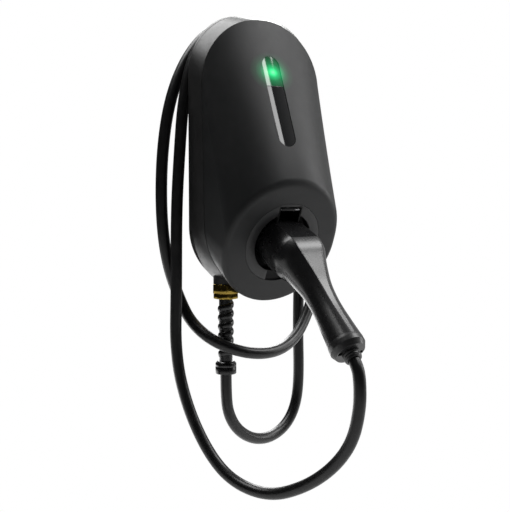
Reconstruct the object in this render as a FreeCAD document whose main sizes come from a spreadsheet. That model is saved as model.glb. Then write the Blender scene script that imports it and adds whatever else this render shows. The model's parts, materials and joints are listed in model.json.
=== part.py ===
import FreeCAD, Part
import math
import os
from types import SimpleNamespace

import Sketcher
from FreeCAD import Placement, Rotation, Vector

# Wall charger for electric vehicles with its tethered cable and vehicle connector.
# The origin is the centre of the wall bracket on the wall plane, +Z is up and the front faces -Y.

doc = FreeCAD.newDocument("ev_wallbox")
sheet = doc.addObject("Spreadsheet::Sheet", "Sizes")

driving_sizes = {
    # Housing outline seen from the front: at its rear rim, and at the seam with the front cover
    "rim_half_width": 85.5,
    "rim_top": 150,
    "rim_bottom": 163,
    "rim_corner": 70,
    "rim_depth": 30,
    "seam_half_width": 79.8,
    "seam_top": 144,
    "seam_bottom": 157,
    "seam_corner": 78,
    "seam_depth": 53.5,
    "seam_lean": 1.8,
    # Tilted round face at the bottom of the front cover
    "disc_radius": 74,
    "disc_corner": 73.2,
    "disc_depth": 95.4,
    "disc_drop": 111,
    "disc_tilt": 23.2,
    "disc_wall": 6,
    # Walls and general clearances
    "housing_wall": 3.2,
    "back_wall": 3,
    "slip_gap": 0.15,
    "soft_gap": 0.3,
    "screw_gap": 0.1,
    # Hub that the cable is wound round, between the housing and the wall
    "hub_half_width": 50,
    "hub_top": 128,
    "hub_bottom": 138,
    "hub_corner": 44,
    "hub_wall": 3,
    # Wall bracket
    "bracket_thickness": 2.5,
    "bracket_half_width": 44,
    "bracket_top": 112,
    "bracket_bottom": 128,
    "bracket_corner": 10,
    "wall_hole_x": 32,
    "wall_hole_z": 80,
    "wall_hole_radius": 3.2,
    "hook_half_spacing": 24,
    "hook_half_width": 7,
    "hook_height": 98,
    "hook_reach": 9,
    "hook_thickness": 3,
    "hook_lip": 5,
    "fixing_x": 30,
    "fixing_drop": 108,
    # Screws
    "screw_radius": 2,
    "screw_head_radius": 3.9,
    "screw_head_height": 2.6,
    "screw_recess_wall": 1.8,
    "screw_recess_depth": 1.4,
    "column_x": 60,
    "column_upper_z": 72,
    "column_lower_z": 24,
    "column_radius": 5.2,
    "column_height": 17,
    "column_counterbore": 4,
    "cover_screw_length": 30,
    # Seal between housing and cover
    "gasket_inset": 0.8,
    "gasket_width": 1.6,
    "gasket_thickness": 1.2,
    # Pill-shaped window strip on the centre line of the front
    "strip_height": 49.4,
    "strip_length": 112,
    "strip_half_width": 11.5,
    "strip_split": 18.6,
    "strip_crown": 78,
    "strip_face": 0.2,
    "lens_thickness": 3,
    "button_travel": 0.8,
    "guide_thickness": 6,
    "strip_board_thickness": 1.6,
    "strip_board_half_width": 16,
    "strip_post_radius": 2.6,
    "strip_post_z": 44,
    "stem_radius": 3,
    "switch_half_width": 4,
    "switch_height": 3.4,
    # Holster
    "ring_radius": 48.4,
    "ring_inner_radius": 36.6,
    "ring_thickness": 2.2,
    "cup_flange": 1.8,
    "cup_radius": 41.3,
    "cup_mouth_depth": 12,
    "cup_depth": 41,
    "cup_floor": 2.5,
    "hinge_block_half_width": 13.2,
    "hinge_block_wall": 2,
    "hinge_block_top": 43,
    "hinge_height": 40.8,
    "hinge_inset": 2.1,
    "barrel_radius": 1.9,
    "barrel_half_length": 11.3,
    "spring_space": 6,
    "spring_wire": 0.4,
    "spring_pitch": 1.1,
    "spring_turns": 4,
    "pin_radius": 1,
    "pin_gap": 0.05,
    "flap_length": 31,
    "flap_thickness": 2,
    "flap_angle": 27,
    "notch_half_width": 12.2,
    "notch_sink": 1.6,
    # Vehicle connector: head along the plug axis, then the handle bends down
    "head_radius": 31,
    "head_flat": 25.4,
    "head_start": 8,
    "head_end": 36,
    "nose_radius": 29,
    "nose_length": 38,
    "contact_radius": 3.1,
    "contact_bore": 1.6,
    "contact_length": 26,
    "contact_upper_x": 7.1,
    "contact_upper_y": 12,
    "contact_middle_x": 14.5,
    "contact_lower_x": 8,
    "contact_lower_y": 13,
    "handle_bend": 21.8,
    "shoulder_at": 14,
    "shoulder_radius": 26,
    "shoulder_flat": 22.2,
    "throat_at": 30,
    "throat_radius": 21.4,
    "throat_flat": 19.6,
    "neck_at": 50,
    "neck_radius": 17.2,
    "neck_flat": 16.7,
    "waist_at": 74,
    "waist_radius": 16,
    "waist_flat": 15.8,
    "grip_at": 100,
    "grip_radius": 17.7,
    "grip_flat": 17.5,
    "handle_end": 118,
    "handle_end_radius": 19.4,
    "handle_end_flat": 19.2,
    "keel_half_width": 6,
    "cap_radius": 19.8,
    "cap_thickness": 14,
    "cap_rounding": 3,
    "cap_screw_x": 12.6,
    "cap_screw_radius": 1.6,
    "cap_screw_head": 3,
    "cap_screw_length": 16,
    "cap_screw_sink": 4,
    "cable_nut_radius": 9.6,
    "cable_nut_length": 9,
    "cable_nut_groove": 0.8,
    # Cable and its entry into the housing
    "cable_radius": 6.75,
    "cable_arc_share": 0.45,
    "cable_insertion": 5,
    "entry_run": 25,
    "nut_run": 7.5,
    "gland_x": 42.7,
    "gland_depth": 40,
    "gland_boss_radius": 14.4,
    "spot_face_radius": 17.2,
    "gland_boss_face": 160,
    "gland_boss_height": 25.5,
    "gland_thread_radius": 9.6,
    "gland_hex": 29.4,
    "gland_hex_height": 10,
    "gland_nut_hex": 28.6,
    "gland_nut_chamfer": 1.8,
    "gland_nut_height": 6,
    "gland_seal_radius": 14,
    "gland_seal_thickness": 1,
    "sleeve_wall": 1.1,
    "sleeve_length": 74,
    "rib_depth": 1.7,
    "rib_width": 7.4,
    "rib_crest_width": 2.8,
    "rib_pitch": 10.6,
    "rib_end": 5.5,
    "collar_radius": 12.3,
    "collar_length": 15,
    "collar_chamfer": 2.6,
    "collar_rounding": 0.8,
    # Electrical pieces inside
    "board_thickness": 1.6,
    "board_screw_length": 10.6,
    "board_half_width": 46,
    "board_top": 118,
    "board_bottom": -26,
    "standoff_height": 6,
    "standoff_radius": 4,
    "standoff_x": 38,
    "standoff_upper_z": 104,
    "standoff_lower_z": -14,
    "relay_width": 50,
    "relay_depth": 30,
    "relay_height": 44,
    "block_gap": 3,
    "supply_width": 38,
    "supply_depth": 22,
    "supply_height": 30,
    "sensor_radius": 16,
    "sensor_bore": 8,
    "sensor_height": 14,
    "terminal_width": 24,
    "terminal_depth": 20,
    "terminal_height": 60,
    "terminal_inset": 25.5,
    "terminal_z": 62,
    "radio_half_width": 14,
    "radio_height": 26,
    "radio_thickness": 1.2,
    "grommet_radius": 13,
    "grommet_lip": 2,
    "grommet_z": 60,
}

for row, (name, value) in enumerate(driving_sizes.items(), start=1):
    sheet.set("A%d" % row, name)
    sheet.set("B%d" % row, str(value))
    sheet.setAlias("B%d" % row, name)
doc.recompute()


class Size:
    """A number together with the sheet formula that it comes from."""

    def __init__(self, value, formula):
        self.value = value
        self.formula = formula

    def joined(self, other, sign, swap=False):
        other = as_size(other)
        left, right = (other, self) if swap else (self, other)
        results = {
            "+": lambda a, b: a + b,
            "-": lambda a, b: a - b,
            "*": lambda a, b: a * b,
            "/": lambda a, b: a / b,
        }
        value = results[sign](left.value, right.value)
        return Size(value, "(%s %s %s)" % (left.formula, sign, right.formula))

    def __add__(self, other):
        return self.joined(other, "+")

    def __radd__(self, other):
        return self.joined(other, "+", True)

    def __sub__(self, other):
        return self.joined(other, "-")

    def __rsub__(self, other):
        return self.joined(other, "-", True)

    def __mul__(self, other):
        return self.joined(other, "*")

    def __rmul__(self, other):
        return self.joined(other, "*", True)

    def __truediv__(self, other):
        return self.joined(other, "/")

    def __neg__(self):
        return self.joined(-1, "*")


def as_size(number):
    return number if isinstance(number, Size) else Size(float(number), repr(float(number)))


def sine(angle):
    return Size(math.sin(math.radians(angle.value)), "sin(%s * 1 deg)" % angle.formula)


def cosine(angle):
    return Size(math.cos(math.radians(angle.value)), "cos(%s * 1 deg)" % angle.formula)


def arctangent(ratio):
    return Size(math.degrees(math.atan(ratio.value)), "(atan(%s) / 1 deg)" % ratio.formula)


dim = SimpleNamespace(
    **{name: Size(float(sheet.get(name)), "Sizes.%s" % name) for name in driving_sizes}
)


def bind(item, path, size):
    """Ties one property of an object to a formula of the sheet."""
    size = as_size(size)
    setattr(item, path, size.value)
    item.setExpression(path, size.formula)


def set_placement(item, prop, base, axis, angle):
    """Places an object, or a sketch on its plane, by formulas of the sheet."""
    base = [as_size(part) for part in base]
    angle = as_size(angle)
    spot = Vector(*[part.value for part in base])
    setattr(item, prop, Placement(spot, Rotation(Vector(*axis), angle.value)))
    for letter, part in zip("xyz", base):
        item.setExpression("%s.Base.%s" % (prop, letter), part.formula)
    if angle.value:
        item.setExpression("%s.Rotation.Angle" % prop, angle.formula)


# The three frames that pieces are modelled in: the housing's own, the tilted disc's, where local Z
# leaves the disc along the plug axis, and the strip's, where local Z leaves the front at its strip.

def disc_point(x, up, out):
    """Position of a point given across, up and out from the middle of the disc."""
    y = -dim.disc_depth - out * cosine(dim.disc_tilt) - up * sine(dim.disc_tilt)
    z = -dim.disc_drop - out * sine(dim.disc_tilt) + up * cosine(dim.disc_tilt)
    return (x, y, z)


def on_disc(item, base=(0, 0, 0), turn=0):
    """Places an object in the disc's frame, with its local Z along the plug axis or turned below it."""
    set_placement(item, "Placement", disc_point(*base), (1, 0, 0), dim.disc_tilt + 90 + turn)


# The crown of the front runs straight down its middle, from the seam's top to the disc's top
crown_depth = dim.seam_depth - dim.seam_top * sine(dim.seam_lean)
crown_height = dim.seam_top * cosine(dim.seam_lean)
crown_reach = -disc_point(0, dim.disc_radius, 0)[1] - crown_depth
crown_fall = crown_height - disc_point(0, dim.disc_radius, 0)[2]
crown_slope = crown_reach / crown_fall
strip_depth = crown_depth + crown_slope * (crown_height - dim.strip_height)


def on_strip(item):
    """Places an object modelled about the strip's centre, with its local Z leaving the front."""
    strip_turn = 90 - arctangent(crown_slope)
    set_placement(item, "Placement", (0, -strip_depth, dim.strip_height), (1, 0, 0), strip_turn)


def new_body(label):
    body = doc.addObject("PartDesign::Body", label)
    body.Label = label
    return body


def new_sketch(body, name, role="XY_Plane", base=(0, 0, 0), axis=(1, 0, 0), angle=0):
    """Makes a sketch on one of the body's origin planes, moved and turned by formulas."""
    sketch = body.newObject("Sketcher::SketchObject", name)
    plane = [item for item in body.Origin.OriginFeatures if item.Role == role][0]
    sketch.AttachmentSupport = [(plane, "")]
    sketch.MapMode = "FlatFace"
    set_placement(sketch, "AttachmentOffset", base, axis, angle)
    return sketch


def fix(sketch, kind, *arguments):
    """Adds a constraint whose last argument is a size, bound to its formula."""
    size = as_size(arguments[-1])
    number = sketch.addConstraint(Sketcher.Constraint(kind, *arguments[:-1], size.value))
    sketch.setExpression("Constraints[%d]" % number, size.formula)


def draw_circle(sketch, radius, x=0, y=0):
    x, y, radius = as_size(x), as_size(y), as_size(radius)
    circle = sketch.addGeometry(Part.Circle(Vector(x.value, y.value, 0), Vector(0, 0, 1), radius.value))
    fix(sketch, "Radius", circle, radius)
    fix(sketch, "DistanceX", circle, 3, x)
    fix(sketch, "DistanceY", circle, 3, y)


def draw_polygon(sketch, points):
    """Draws a closed outline of straight edges through points given as sizes."""
    points = [(as_size(x), as_size(y)) for x, y in points]
    corners = [Vector(x.value, y.value, 0) for x, y in points]
    lines = []
    for start, end in zip(corners, corners[1:] + corners[:1]):
        lines.append(sketch.addGeometry(Part.LineSegment(start, end)))
    for line, following in zip(lines, lines[1:] + lines[:1]):
        sketch.addConstraint(Sketcher.Constraint("Coincident", line, 2, following, 1))
    for line, (x, y) in zip(lines, points):
        fix(sketch, "DistanceX", line, 1, x)
        fix(sketch, "DistanceY", line, 1, y)


def draw_box(sketch, left, right, low, high):
    draw_polygon(sketch, [(left, low), (right, low), (right, high), (left, high)])


def draw_frame(sketch, half_width, top, bottom, corner):
    """Draws an upright outline with four round corners: bottom is the distance below the centre."""
    half_width, top, bottom, corner = [as_size(part) for part in (half_width, top, bottom, corner)]
    centres = [
        (half_width - corner, top - corner, 0),
        (corner - half_width, top - corner, 90),
        (corner - half_width, corner - bottom, 180),
        (half_width - corner, corner - bottom, 270),
    ]
    arcs = []
    for x, y, start in centres:
        circle = Part.Circle(Vector(x.value, y.value, 0), Vector(0, 0, 1), corner.value)
        arc = Part.ArcOfCircle(circle, math.radians(start), math.radians(start + 90))
        arcs.append(sketch.addGeometry(arc))
    lines = []
    for arc, following in zip(arcs, arcs[1:] + arcs[:1]):
        start = sketch.getPoint(arc, 2)
        end = sketch.getPoint(following, 1)
        lines.append(sketch.addGeometry(Part.LineSegment(start, end)))
    for arc, line, following in zip(arcs, lines, arcs[1:] + arcs[:1]):
        sketch.addConstraint(Sketcher.Constraint("Tangent", arc, 2, line, 1))
        sketch.addConstraint(Sketcher.Constraint("Tangent", line, 2, following, 1))
    for arc, (x, y, start) in zip(arcs, centres):
        fix(sketch, "Radius", arc, corner)
        fix(sketch, "DistanceX", arc, 3, x)
        fix(sketch, "DistanceY", arc, 3, y)


def draw_flat_topped_circle(sketch, radius, flat):
    """Draws a circle about the origin that is cut by a level line above its centre."""
    radius, flat = as_size(radius), as_size(flat)
    start = math.pi - math.asin(flat.value / radius.value)
    circle = Part.Circle(Vector(0, 0, 0), Vector(0, 0, 1), radius.value)
    arc = sketch.addGeometry(Part.ArcOfCircle(circle, start, 3 * math.pi - start))
    line = sketch.addGeometry(Part.LineSegment(sketch.getPoint(arc, 2), sketch.getPoint(arc, 1)))
    sketch.addConstraint(Sketcher.Constraint("Coincident", arc, 3, -1, 1))
    sketch.addConstraint(Sketcher.Constraint("Coincident", arc, 2, line, 1))
    sketch.addConstraint(Sketcher.Constraint("Coincident", line, 2, arc, 1))
    sketch.addConstraint(Sketcher.Constraint("Horizontal", line))
    fix(sketch, "Radius", arc, radius)
    fix(sketch, "DistanceY", line, 1, flat)


def pad(body, sketch, length, midplane=False, reverse=False):
    """Adds the sketched outline as a block along the sketch's normal."""
    feature = body.newObject("PartDesign::Pad", sketch.Name + "_pad")
    feature.Profile = sketch
    feature.Midplane = midplane
    feature.Reversed = reverse
    bind(feature, "Length", length)
    sketch.Visibility = False
    return feature


def pocket(body, sketch, length, reverse=False, midplane=False):
    """Cuts the sketched outline against the sketch's normal, or along it when reversed."""
    feature = body.newObject("PartDesign::Pocket", sketch.Name + "_pocket")
    feature.Profile = sketch
    feature.Reversed = reverse
    feature.Midplane = midplane
    bind(feature, "Length", length)
    return feature


def revolve(body, sketch):
    """Turns the sketched half section a full circle about its upright axis."""
    feature = body.newObject("PartDesign::Revolution", sketch.Name + "_turned")
    feature.Profile = sketch
    feature.ReferenceAxis = (sketch, ["V_Axis"])
    feature.Angle = 360
    return feature


def loft(body, sketches, kind="Additive", ruled=True):
    feature = body.newObject("PartDesign::%sLoft" % kind, sketches[0].Name + "_loft")
    feature.Profile = sketches[0]
    feature.Sections = sketches[1:]
    feature.Ruled = ruled
    return feature


def chamfer(body, base, edges, size):
    doc.recompute()
    feature = body.newObject("PartDesign::Chamfer", base.Name + "_chamfer")
    feature.Base = (base, edges)
    bind(feature, "Size", size)
    return feature


def circular_edges(feature, radius, height=None):
    """Names the circular edges of a feature that have this radius, at this local height."""
    doc.recompute()
    names = []
    for number, edge in enumerate(feature.Shape.Edges, start=1):
        curve = edge.Curve
        if not isinstance(curve, Part.Circle) or abs(curve.Radius - as_size(radius).value) > 0.01:
            continue
        if height is None or abs(curve.Center.z - as_size(height).value) < 0.01:
            names.append("Edge%d" % number)
    return names


def boolean(kind, label, base, tool):
    item = doc.addObject("Part::%s" % kind, label)
    item.Label = label
    item.Base = base
    item.Tool = tool
    return item


def fuse(label, pieces):
    item = doc.addObject("Part::MultiFuse", label)
    item.Label = label
    item.Shapes = pieces
    return item


def compound(label, pieces):
    """Groups identical loose pieces under one name."""
    item = doc.addObject("Part::Compound", label)
    item.Label = label
    item.Links = pieces
    return item


# Sections shared by the housing, the cover and the seal

def rim_outline(body, name, inset=0, lift=0):
    """Outline at the housing's rear rim, drawn smaller by inset and lifted forward by lift."""
    sketch = new_sketch(body, name, "XZ_Plane", (0, 0, dim.rim_depth + lift))
    draw_frame(
        sketch,
        dim.rim_half_width - inset,
        dim.rim_top - inset,
        dim.rim_bottom - inset,
        dim.rim_corner - inset,
    )
    return sketch


def seam_sketch(body, name, lift=0):
    """Empty sketch on the plane of the seam, which leans back towards its top."""
    return new_sketch(body, name, "XZ_Plane", (0, 0, dim.seam_depth + lift), (-1, 0, 0), dim.seam_lean)


def draw_seam(sketch, inset=0):
    draw_frame(
        sketch,
        dim.seam_half_width - inset,
        dim.seam_top - inset,
        dim.seam_bottom - inset,
        dim.seam_corner - inset,
    )


def seam_outline(body, name, inset=0):
    sketch = seam_sketch(body, name)
    draw_seam(sketch, inset)
    return sketch


def disc_outline(body, name, inset=0, depth=0):
    """Outline of the tilted round face, drawn smaller by inset and set back by depth."""
    y = -dim.disc_drop + depth * sine(dim.disc_tilt)
    z = dim.disc_depth - depth * cosine(dim.disc_tilt)
    sketch = new_sketch(body, name, "XZ_Plane", (0, y, z), (1, 0, 0), dim.disc_tilt)
    radius = dim.disc_radius - inset
    draw_frame(sketch, radius, radius, radius, dim.disc_corner - inset)
    return sketch


column_places = [
    (side * dim.column_x, height)
    for side in (-1, 1)
    for height in (dim.column_upper_z, -dim.column_lower_z)
]


def draw_columns(sketch, radius):
    for x, z in column_places:
        draw_circle(sketch, radius, x, z)


def wall_screw_places():
    return [(x * dim.wall_hole_x, z * dim.wall_hole_z) for x in (-1, 1) for z in (-1, 1)]


# Wall bracket: a pressed plate with two hooks that the housing hangs on

bracket = new_body("wall_bracket")
outline = new_sketch(bracket, "bracket_outline", "XZ_Plane")
draw_frame(outline, dim.bracket_half_width, dim.bracket_top, dim.bracket_bottom, dim.bracket_corner)
pad(bracket, outline, dim.bracket_thickness)
holes = new_sketch(bracket, "bracket_holes", "XZ_Plane", (0, 0, dim.bracket_thickness))
for x, z in wall_screw_places():
    draw_circle(holes, dim.wall_hole_radius, x, z)
for side in (-1, 1):
    draw_circle(holes, dim.screw_radius + dim.pin_gap, side * dim.fixing_x, -dim.fixing_drop)
pocket(bracket, holes, dim.bracket_thickness)
hook_foot = dim.hook_height
hook_top = dim.hook_height + dim.hook_thickness
for side, word in ((-1, "left"), (1, "right")):
    hook = new_sketch(bracket, "bracket_hook_" + word, "YZ_Plane", (0, 0, side * dim.hook_half_spacing))
    draw_polygon(
        hook,
        [
            (-dim.bracket_thickness, hook_foot),
            (-dim.hook_reach, hook_foot),
            (-dim.hook_reach, hook_top + dim.hook_lip),
            (dim.bracket_thickness - dim.hook_reach, hook_top + dim.hook_lip),
            (dim.bracket_thickness - dim.hook_reach, hook_top),
            (-dim.bracket_thickness, hook_top),
        ],
    )
    pad(bracket, hook, dim.hook_half_width * 2, midplane=True)

# Rear housing: a drafted tub from the rim to the seam, on the hub that the cable winds round

housing = new_body("rear_housing")
loft(housing, [rim_outline(housing, "tub_rim"), seam_outline(housing, "tub_seam")])
tub_floor = rim_outline(housing, "tub_floor", dim.housing_wall, dim.back_wall)
tub_mouth = seam_outline(housing, "tub_mouth", dim.housing_wall)
loft(housing, [tub_floor, tub_mouth], "Subtractive")
hub = new_sketch(housing, "hub", "XZ_Plane", (0, 0, dim.bracket_thickness))
draw_frame(hub, dim.hub_half_width, dim.hub_top, dim.hub_bottom, dim.hub_corner)
pad(housing, hub, dim.rim_depth + dim.back_wall - dim.bracket_thickness)
hub_hollow = new_sketch(housing, "hub_hollow", "XZ_Plane", (0, 0, dim.rim_depth + dim.back_wall))
draw_frame(
    hub_hollow,
    dim.hub_half_width - dim.hub_wall,
    dim.hub_top - dim.hub_wall,
    dim.hub_bottom - dim.hub_wall,
    dim.hub_corner - dim.hub_wall,
)
hub_floor_depth = dim.bracket_thickness + dim.hub_wall
pocket(housing, hub_hollow, dim.rim_depth + dim.back_wall - hub_floor_depth)

# Screw columns of the tub, counterbored from the back
columns = new_sketch(housing, "tub_columns", "XZ_Plane", (0, 0, dim.rim_depth))
draw_columns(columns, dim.column_radius)
pad(housing, columns, dim.column_height)
column_holes = new_sketch(housing, "tub_column_holes", "XZ_Plane", (0, 0, dim.rim_depth + dim.column_height))
draw_columns(column_holes, dim.screw_radius + dim.screw_gap)
pocket(housing, column_holes, dim.column_height)
head_holes = new_sketch(housing, "tub_head_holes", "XZ_Plane", (0, 0, dim.rim_depth))
draw_columns(head_holes, dim.screw_head_radius + dim.screw_gap)
pocket(housing, head_holes, dim.column_counterbore, reverse=True)

# Stand-offs for the main board, on the floor of the hub
standoff_places = [
    (side * dim.standoff_x, height)
    for side in (-1, 1)
    for height in (dim.standoff_upper_z, dim.standoff_lower_z)
]
standoff_face = dim.rim_depth + dim.back_wall + dim.standoff_height
standoffs = new_sketch(housing, "standoffs", "XZ_Plane", (0, 0, hub_floor_depth))
for x, z in standoff_places:
    draw_circle(standoffs, dim.standoff_radius, x, z)
pad(housing, standoffs, standoff_face - hub_floor_depth)
standoff_holes = new_sketch(housing, "standoff_holes", "XZ_Plane", (0, 0, standoff_face))
for x, z in standoff_places:
    draw_circle(standoff_holes, dim.screw_radius + dim.screw_gap, x, z)
pocket(housing, standoff_holes, dim.standoff_height * 2)

# Openings in the hub's back for the hooks, the fixing screws and the supply cable
hook_slots = new_sketch(housing, "hook_slots", "XZ_Plane", (0, 0, hub_floor_depth))
for side in (-1, 1):
    middle = side * dim.hook_half_spacing
    draw_box(
        hook_slots,
        middle - dim.hook_half_width - dim.soft_gap,
        middle + dim.hook_half_width + dim.soft_gap,
        hook_foot - dim.soft_gap,
        hook_top + dim.hook_lip + dim.soft_gap,
    )
pocket(housing, hook_slots, dim.hub_wall)
back_holes = new_sketch(housing, "back_holes", "XZ_Plane", (0, 0, hub_floor_depth))
for side in (-1, 1):
    draw_circle(back_holes, dim.screw_radius + dim.screw_gap, side * dim.fixing_x, -dim.fixing_drop)
draw_circle(back_holes, dim.grommet_radius - dim.grommet_lip, 0, -dim.grommet_z)
pocket(housing, back_holes, dim.hub_wall)

# Boss under the tub for the cable gland
boss = new_sketch(housing, "gland_boss", "XY_Plane", (0, 0, -dim.gland_boss_face))
draw_circle(boss, dim.gland_boss_radius, -dim.gland_x, -dim.gland_depth)
pad(housing, boss, dim.gland_boss_height)
gland_top = dim.gland_boss_height - dim.gland_boss_face
spot_face = new_sketch(housing, "spot_face", "XY_Plane", (0, 0, -dim.gland_boss_face))
draw_circle(spot_face, dim.spot_face_radius, -dim.gland_x, -dim.gland_depth)
pocket(housing, spot_face, dim.gland_boss_height)
gland_hole = new_sketch(housing, "gland_hole", "XY_Plane", (0, 0, gland_top))
draw_circle(gland_hole, dim.gland_thread_radius + dim.screw_gap, -dim.gland_x, -dim.gland_depth)
pocket(housing, gland_hole, dim.gland_boss_height)

# Groove for the seal, in the tub's front edge
groove = seam_sketch(housing, "seal_groove")
draw_seam(groove, dim.gasket_inset)
draw_seam(groove, dim.gasket_inset + dim.gasket_width)
pocket(housing, groove, dim.gasket_thickness)

gasket = new_body("housing_gasket")
gasket_outline = seam_sketch(gasket, "gasket_outline")
draw_seam(gasket_outline, dim.gasket_inset)
draw_seam(gasket_outline, dim.gasket_inset + dim.gasket_width)
pad(gasket, gasket_outline, dim.gasket_thickness, reverse=True)

# Front cover: straight lines join the outline at the seam to the tilted round face. The posts for
# the screws and the strip's board stand inside it and end wherever its crowned wall is.

cover_form = new_body("cover_form")
loft(cover_form, [seam_outline(cover_form, "cover_seam"), disc_outline(cover_form, "cover_disc")])
cover_void = new_body("cover_void")
loft(
    cover_void,
    [
        seam_outline(cover_void, "void_seam", dim.housing_wall),
        disc_outline(cover_void, "void_disc", dim.housing_wall, dim.disc_wall),
    ],
)


def strip_outline(body, name, lift, half_width, low, high):
    """Pill outline on the strip, from low to high along it."""
    sketch = new_sketch(body, name, "XY_Plane", (0, (low + high) / 2, lift))
    half_length = (as_size(high) - low) / 2
    flat = 0.02
    draw_frame(sketch, half_width, half_length, half_length, as_size(half_width) - flat)
    return sketch


strip_half = dim.strip_length / 2
cover_posts = new_body("cover_posts")
post_circles = new_sketch(cover_posts, "screw_posts", "XZ_Plane", (0, 0, dim.rim_depth + dim.column_height))
draw_columns(post_circles, dim.column_radius)
pad(cover_posts, post_circles, dim.disc_depth)
strip_posts = new_body("strip_posts")
strip_post_foot = -dim.strip_face - dim.lens_thickness - dim.guide_thickness
strip_post_circles = new_sketch(strip_posts, "strip_post_circles", "XY_Plane", (0, 0, strip_post_foot))
strip_post_x = dim.strip_half_width + dim.strip_post_radius + dim.soft_gap
for side in (-1, 1):
    for end in (-1, 1):
        draw_circle(strip_post_circles, dim.strip_post_radius, side * strip_post_x, end * dim.strip_post_z)
pad(strip_posts, strip_post_circles, dim.guide_thickness)
on_strip(strip_posts)
cover_cavity = boolean("Cut", "cover_cavity", cover_void, fuse("posts", [cover_posts, strip_posts]))
cover_blank = boolean("Cut", "cover_blank", cover_form, cover_cavity)

strip_slot = new_body("strip_slot")
slot = strip_outline(
    strip_slot, "slot", -dim.lens_thickness * 2, dim.strip_half_width, -strip_half, strip_half
)
pad(strip_slot, slot, dim.lens_thickness * 4)
on_strip(strip_slot)
holster_opening = new_body("holster_opening")
seat = new_sketch(holster_opening, "ring_seat")
draw_circle(seat, dim.ring_radius + dim.slip_gap)
pad(holster_opening, seat, dim.ring_thickness + dim.cup_flange, reverse=True)
bore = new_sketch(holster_opening, "cup_bore")
draw_circle(bore, dim.cup_radius + dim.slip_gap)
pad(holster_opening, bore, dim.disc_wall * 2, reverse=True)
block_notch = new_sketch(holster_opening, "block_notch")
notch_x = dim.hinge_block_half_width + dim.hinge_block_wall + dim.slip_gap
notch_top = dim.hinge_block_top + dim.hinge_block_wall + dim.slip_gap
draw_box(block_notch, -notch_x, notch_x, 0, notch_top)
pad(holster_opening, block_notch, dim.disc_wall * 2, reverse=True)
on_disc(holster_opening)
pilot_holes = new_body("pilot_holes")
pilots = new_sketch(pilot_holes, "pilots", "XZ_Plane", (0, 0, dim.rim_depth + dim.column_height))
draw_columns(pilots, dim.screw_radius + dim.pin_gap)
pad(pilot_holes, pilots, dim.cover_screw_length - dim.column_height + dim.column_counterbore)
cover_openings = fuse("cover_openings", [strip_slot, holster_opening, pilot_holes])
front_cover = boolean("Cut", "front_cover", cover_blank, cover_openings)


def screw(label, length, head_radius=dim.screw_head_radius, radius=dim.screw_radius):
    """Pan head screw along local Z: the head sits above zero and the shank below it."""
    body = new_body(label)
    half = new_sketch(body, label + "_half", "XZ_Plane")
    draw_polygon(
        half,
        [
            (0, -length),
            (radius, -length),
            (radius, 0),
            (head_radius, 0),
            (head_radius, dim.screw_head_height - dim.slip_gap),
            (head_radius - dim.slip_gap, dim.screw_head_height),
            (0, dim.screw_head_height),
        ],
    )
    revolve(body, half)
    recess = new_sketch(body, label + "_recess", "XY_Plane", (0, 0, dim.screw_head_height))
    draw_circle(recess, head_radius - dim.screw_recess_wall)
    pocket(body, recess, dim.screw_recess_depth)
    return body


def facing_wall(item, x, y, z):
    """Turns an object's local Z to the wall."""
    set_placement(item, "Placement", (x, y, z), (-1, 0, 0), 90)


def facing_front(item, x, y, z):
    """Turns an object's local Z to the front."""
    set_placement(item, "Placement", (x, y, z), (1, 0, 0), 90)


cover_screw_bodies = []
head_seat = -dim.rim_depth - dim.column_counterbore
for number, (x, z) in enumerate(column_places, start=1):
    item = screw("cover_screw_%d" % number, dim.cover_screw_length)
    facing_wall(item, x, head_seat, z)
    cover_screw_bodies.append(item)
compound("cover_screws", cover_screw_bodies)

fixing_screw_bodies = []
for side, word in ((-1, "left"), (1, "right")):
    item = screw("fixing_screw_" + word, hub_floor_depth - dim.soft_gap)
    facing_front(item, side * dim.fixing_x, -hub_floor_depth, -dim.fixing_drop)
    fixing_screw_bodies.append(item)
compound("fixing_screws", fixing_screw_bodies)

# Window strip: a crowned lens below the cross line and a push button above it


def crowned_slab(label, low, high):
    """Slab across the strip with a crowned face, from low to high along the strip."""
    body = new_body(label)
    profile = new_sketch(body, label + "_profile", "XZ_Plane", (0, 0, -high))
    half_width = dim.strip_half_width + dim.slip_gap
    face = -dim.strip_face
    foot = face - dim.lens_thickness
    edge = face - (half_width * half_width) / (dim.strip_crown * 2)
    left = Vector(-half_width.value, edge.value, 0)
    right = Vector(half_width.value, edge.value, 0)
    arc = profile.addGeometry(Part.Arc(right, Vector(0, face.value, 0), left))
    corners = [left, Vector(left.x, foot.value, 0), Vector(right.x, foot.value, 0), right]
    lines = [profile.addGeometry(Part.LineSegment(a, b)) for a, b in zip(corners, corners[1:])]
    profile.addConstraint(Sketcher.Constraint("Coincident", arc, 2, lines[0], 1))
    profile.addConstraint(Sketcher.Constraint("Coincident", lines[0], 2, lines[1], 1))
    profile.addConstraint(Sketcher.Constraint("Coincident", lines[1], 2, lines[2], 1))
    profile.addConstraint(Sketcher.Constraint("Coincident", lines[2], 2, arc, 1))
    for line, (x, y) in zip(lines, [(-half_width, edge), (-half_width, foot), (half_width, foot)]):
        fix(profile, "DistanceX", line, 1, x)
        fix(profile, "DistanceY", line, 1, y)
    fix(profile, "DistanceX", lines[2], 2, half_width)
    fix(profile, "DistanceY", lines[2], 2, edge)
    fix(profile, "Radius", arc, dim.strip_crown)
    pad(body, profile, high - low)
    on_strip(body)
    return body


def strip_pill(label, foot, height):
    """Pill that fills the strip's slot with a small gap round it."""
    body = new_body(label)
    end = strip_half - dim.slip_gap
    outline = strip_outline(body, label + "_outline", foot, dim.strip_half_width - dim.slip_gap, -end, end)
    pad(body, outline, height)
    on_strip(body)
    return body


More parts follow.
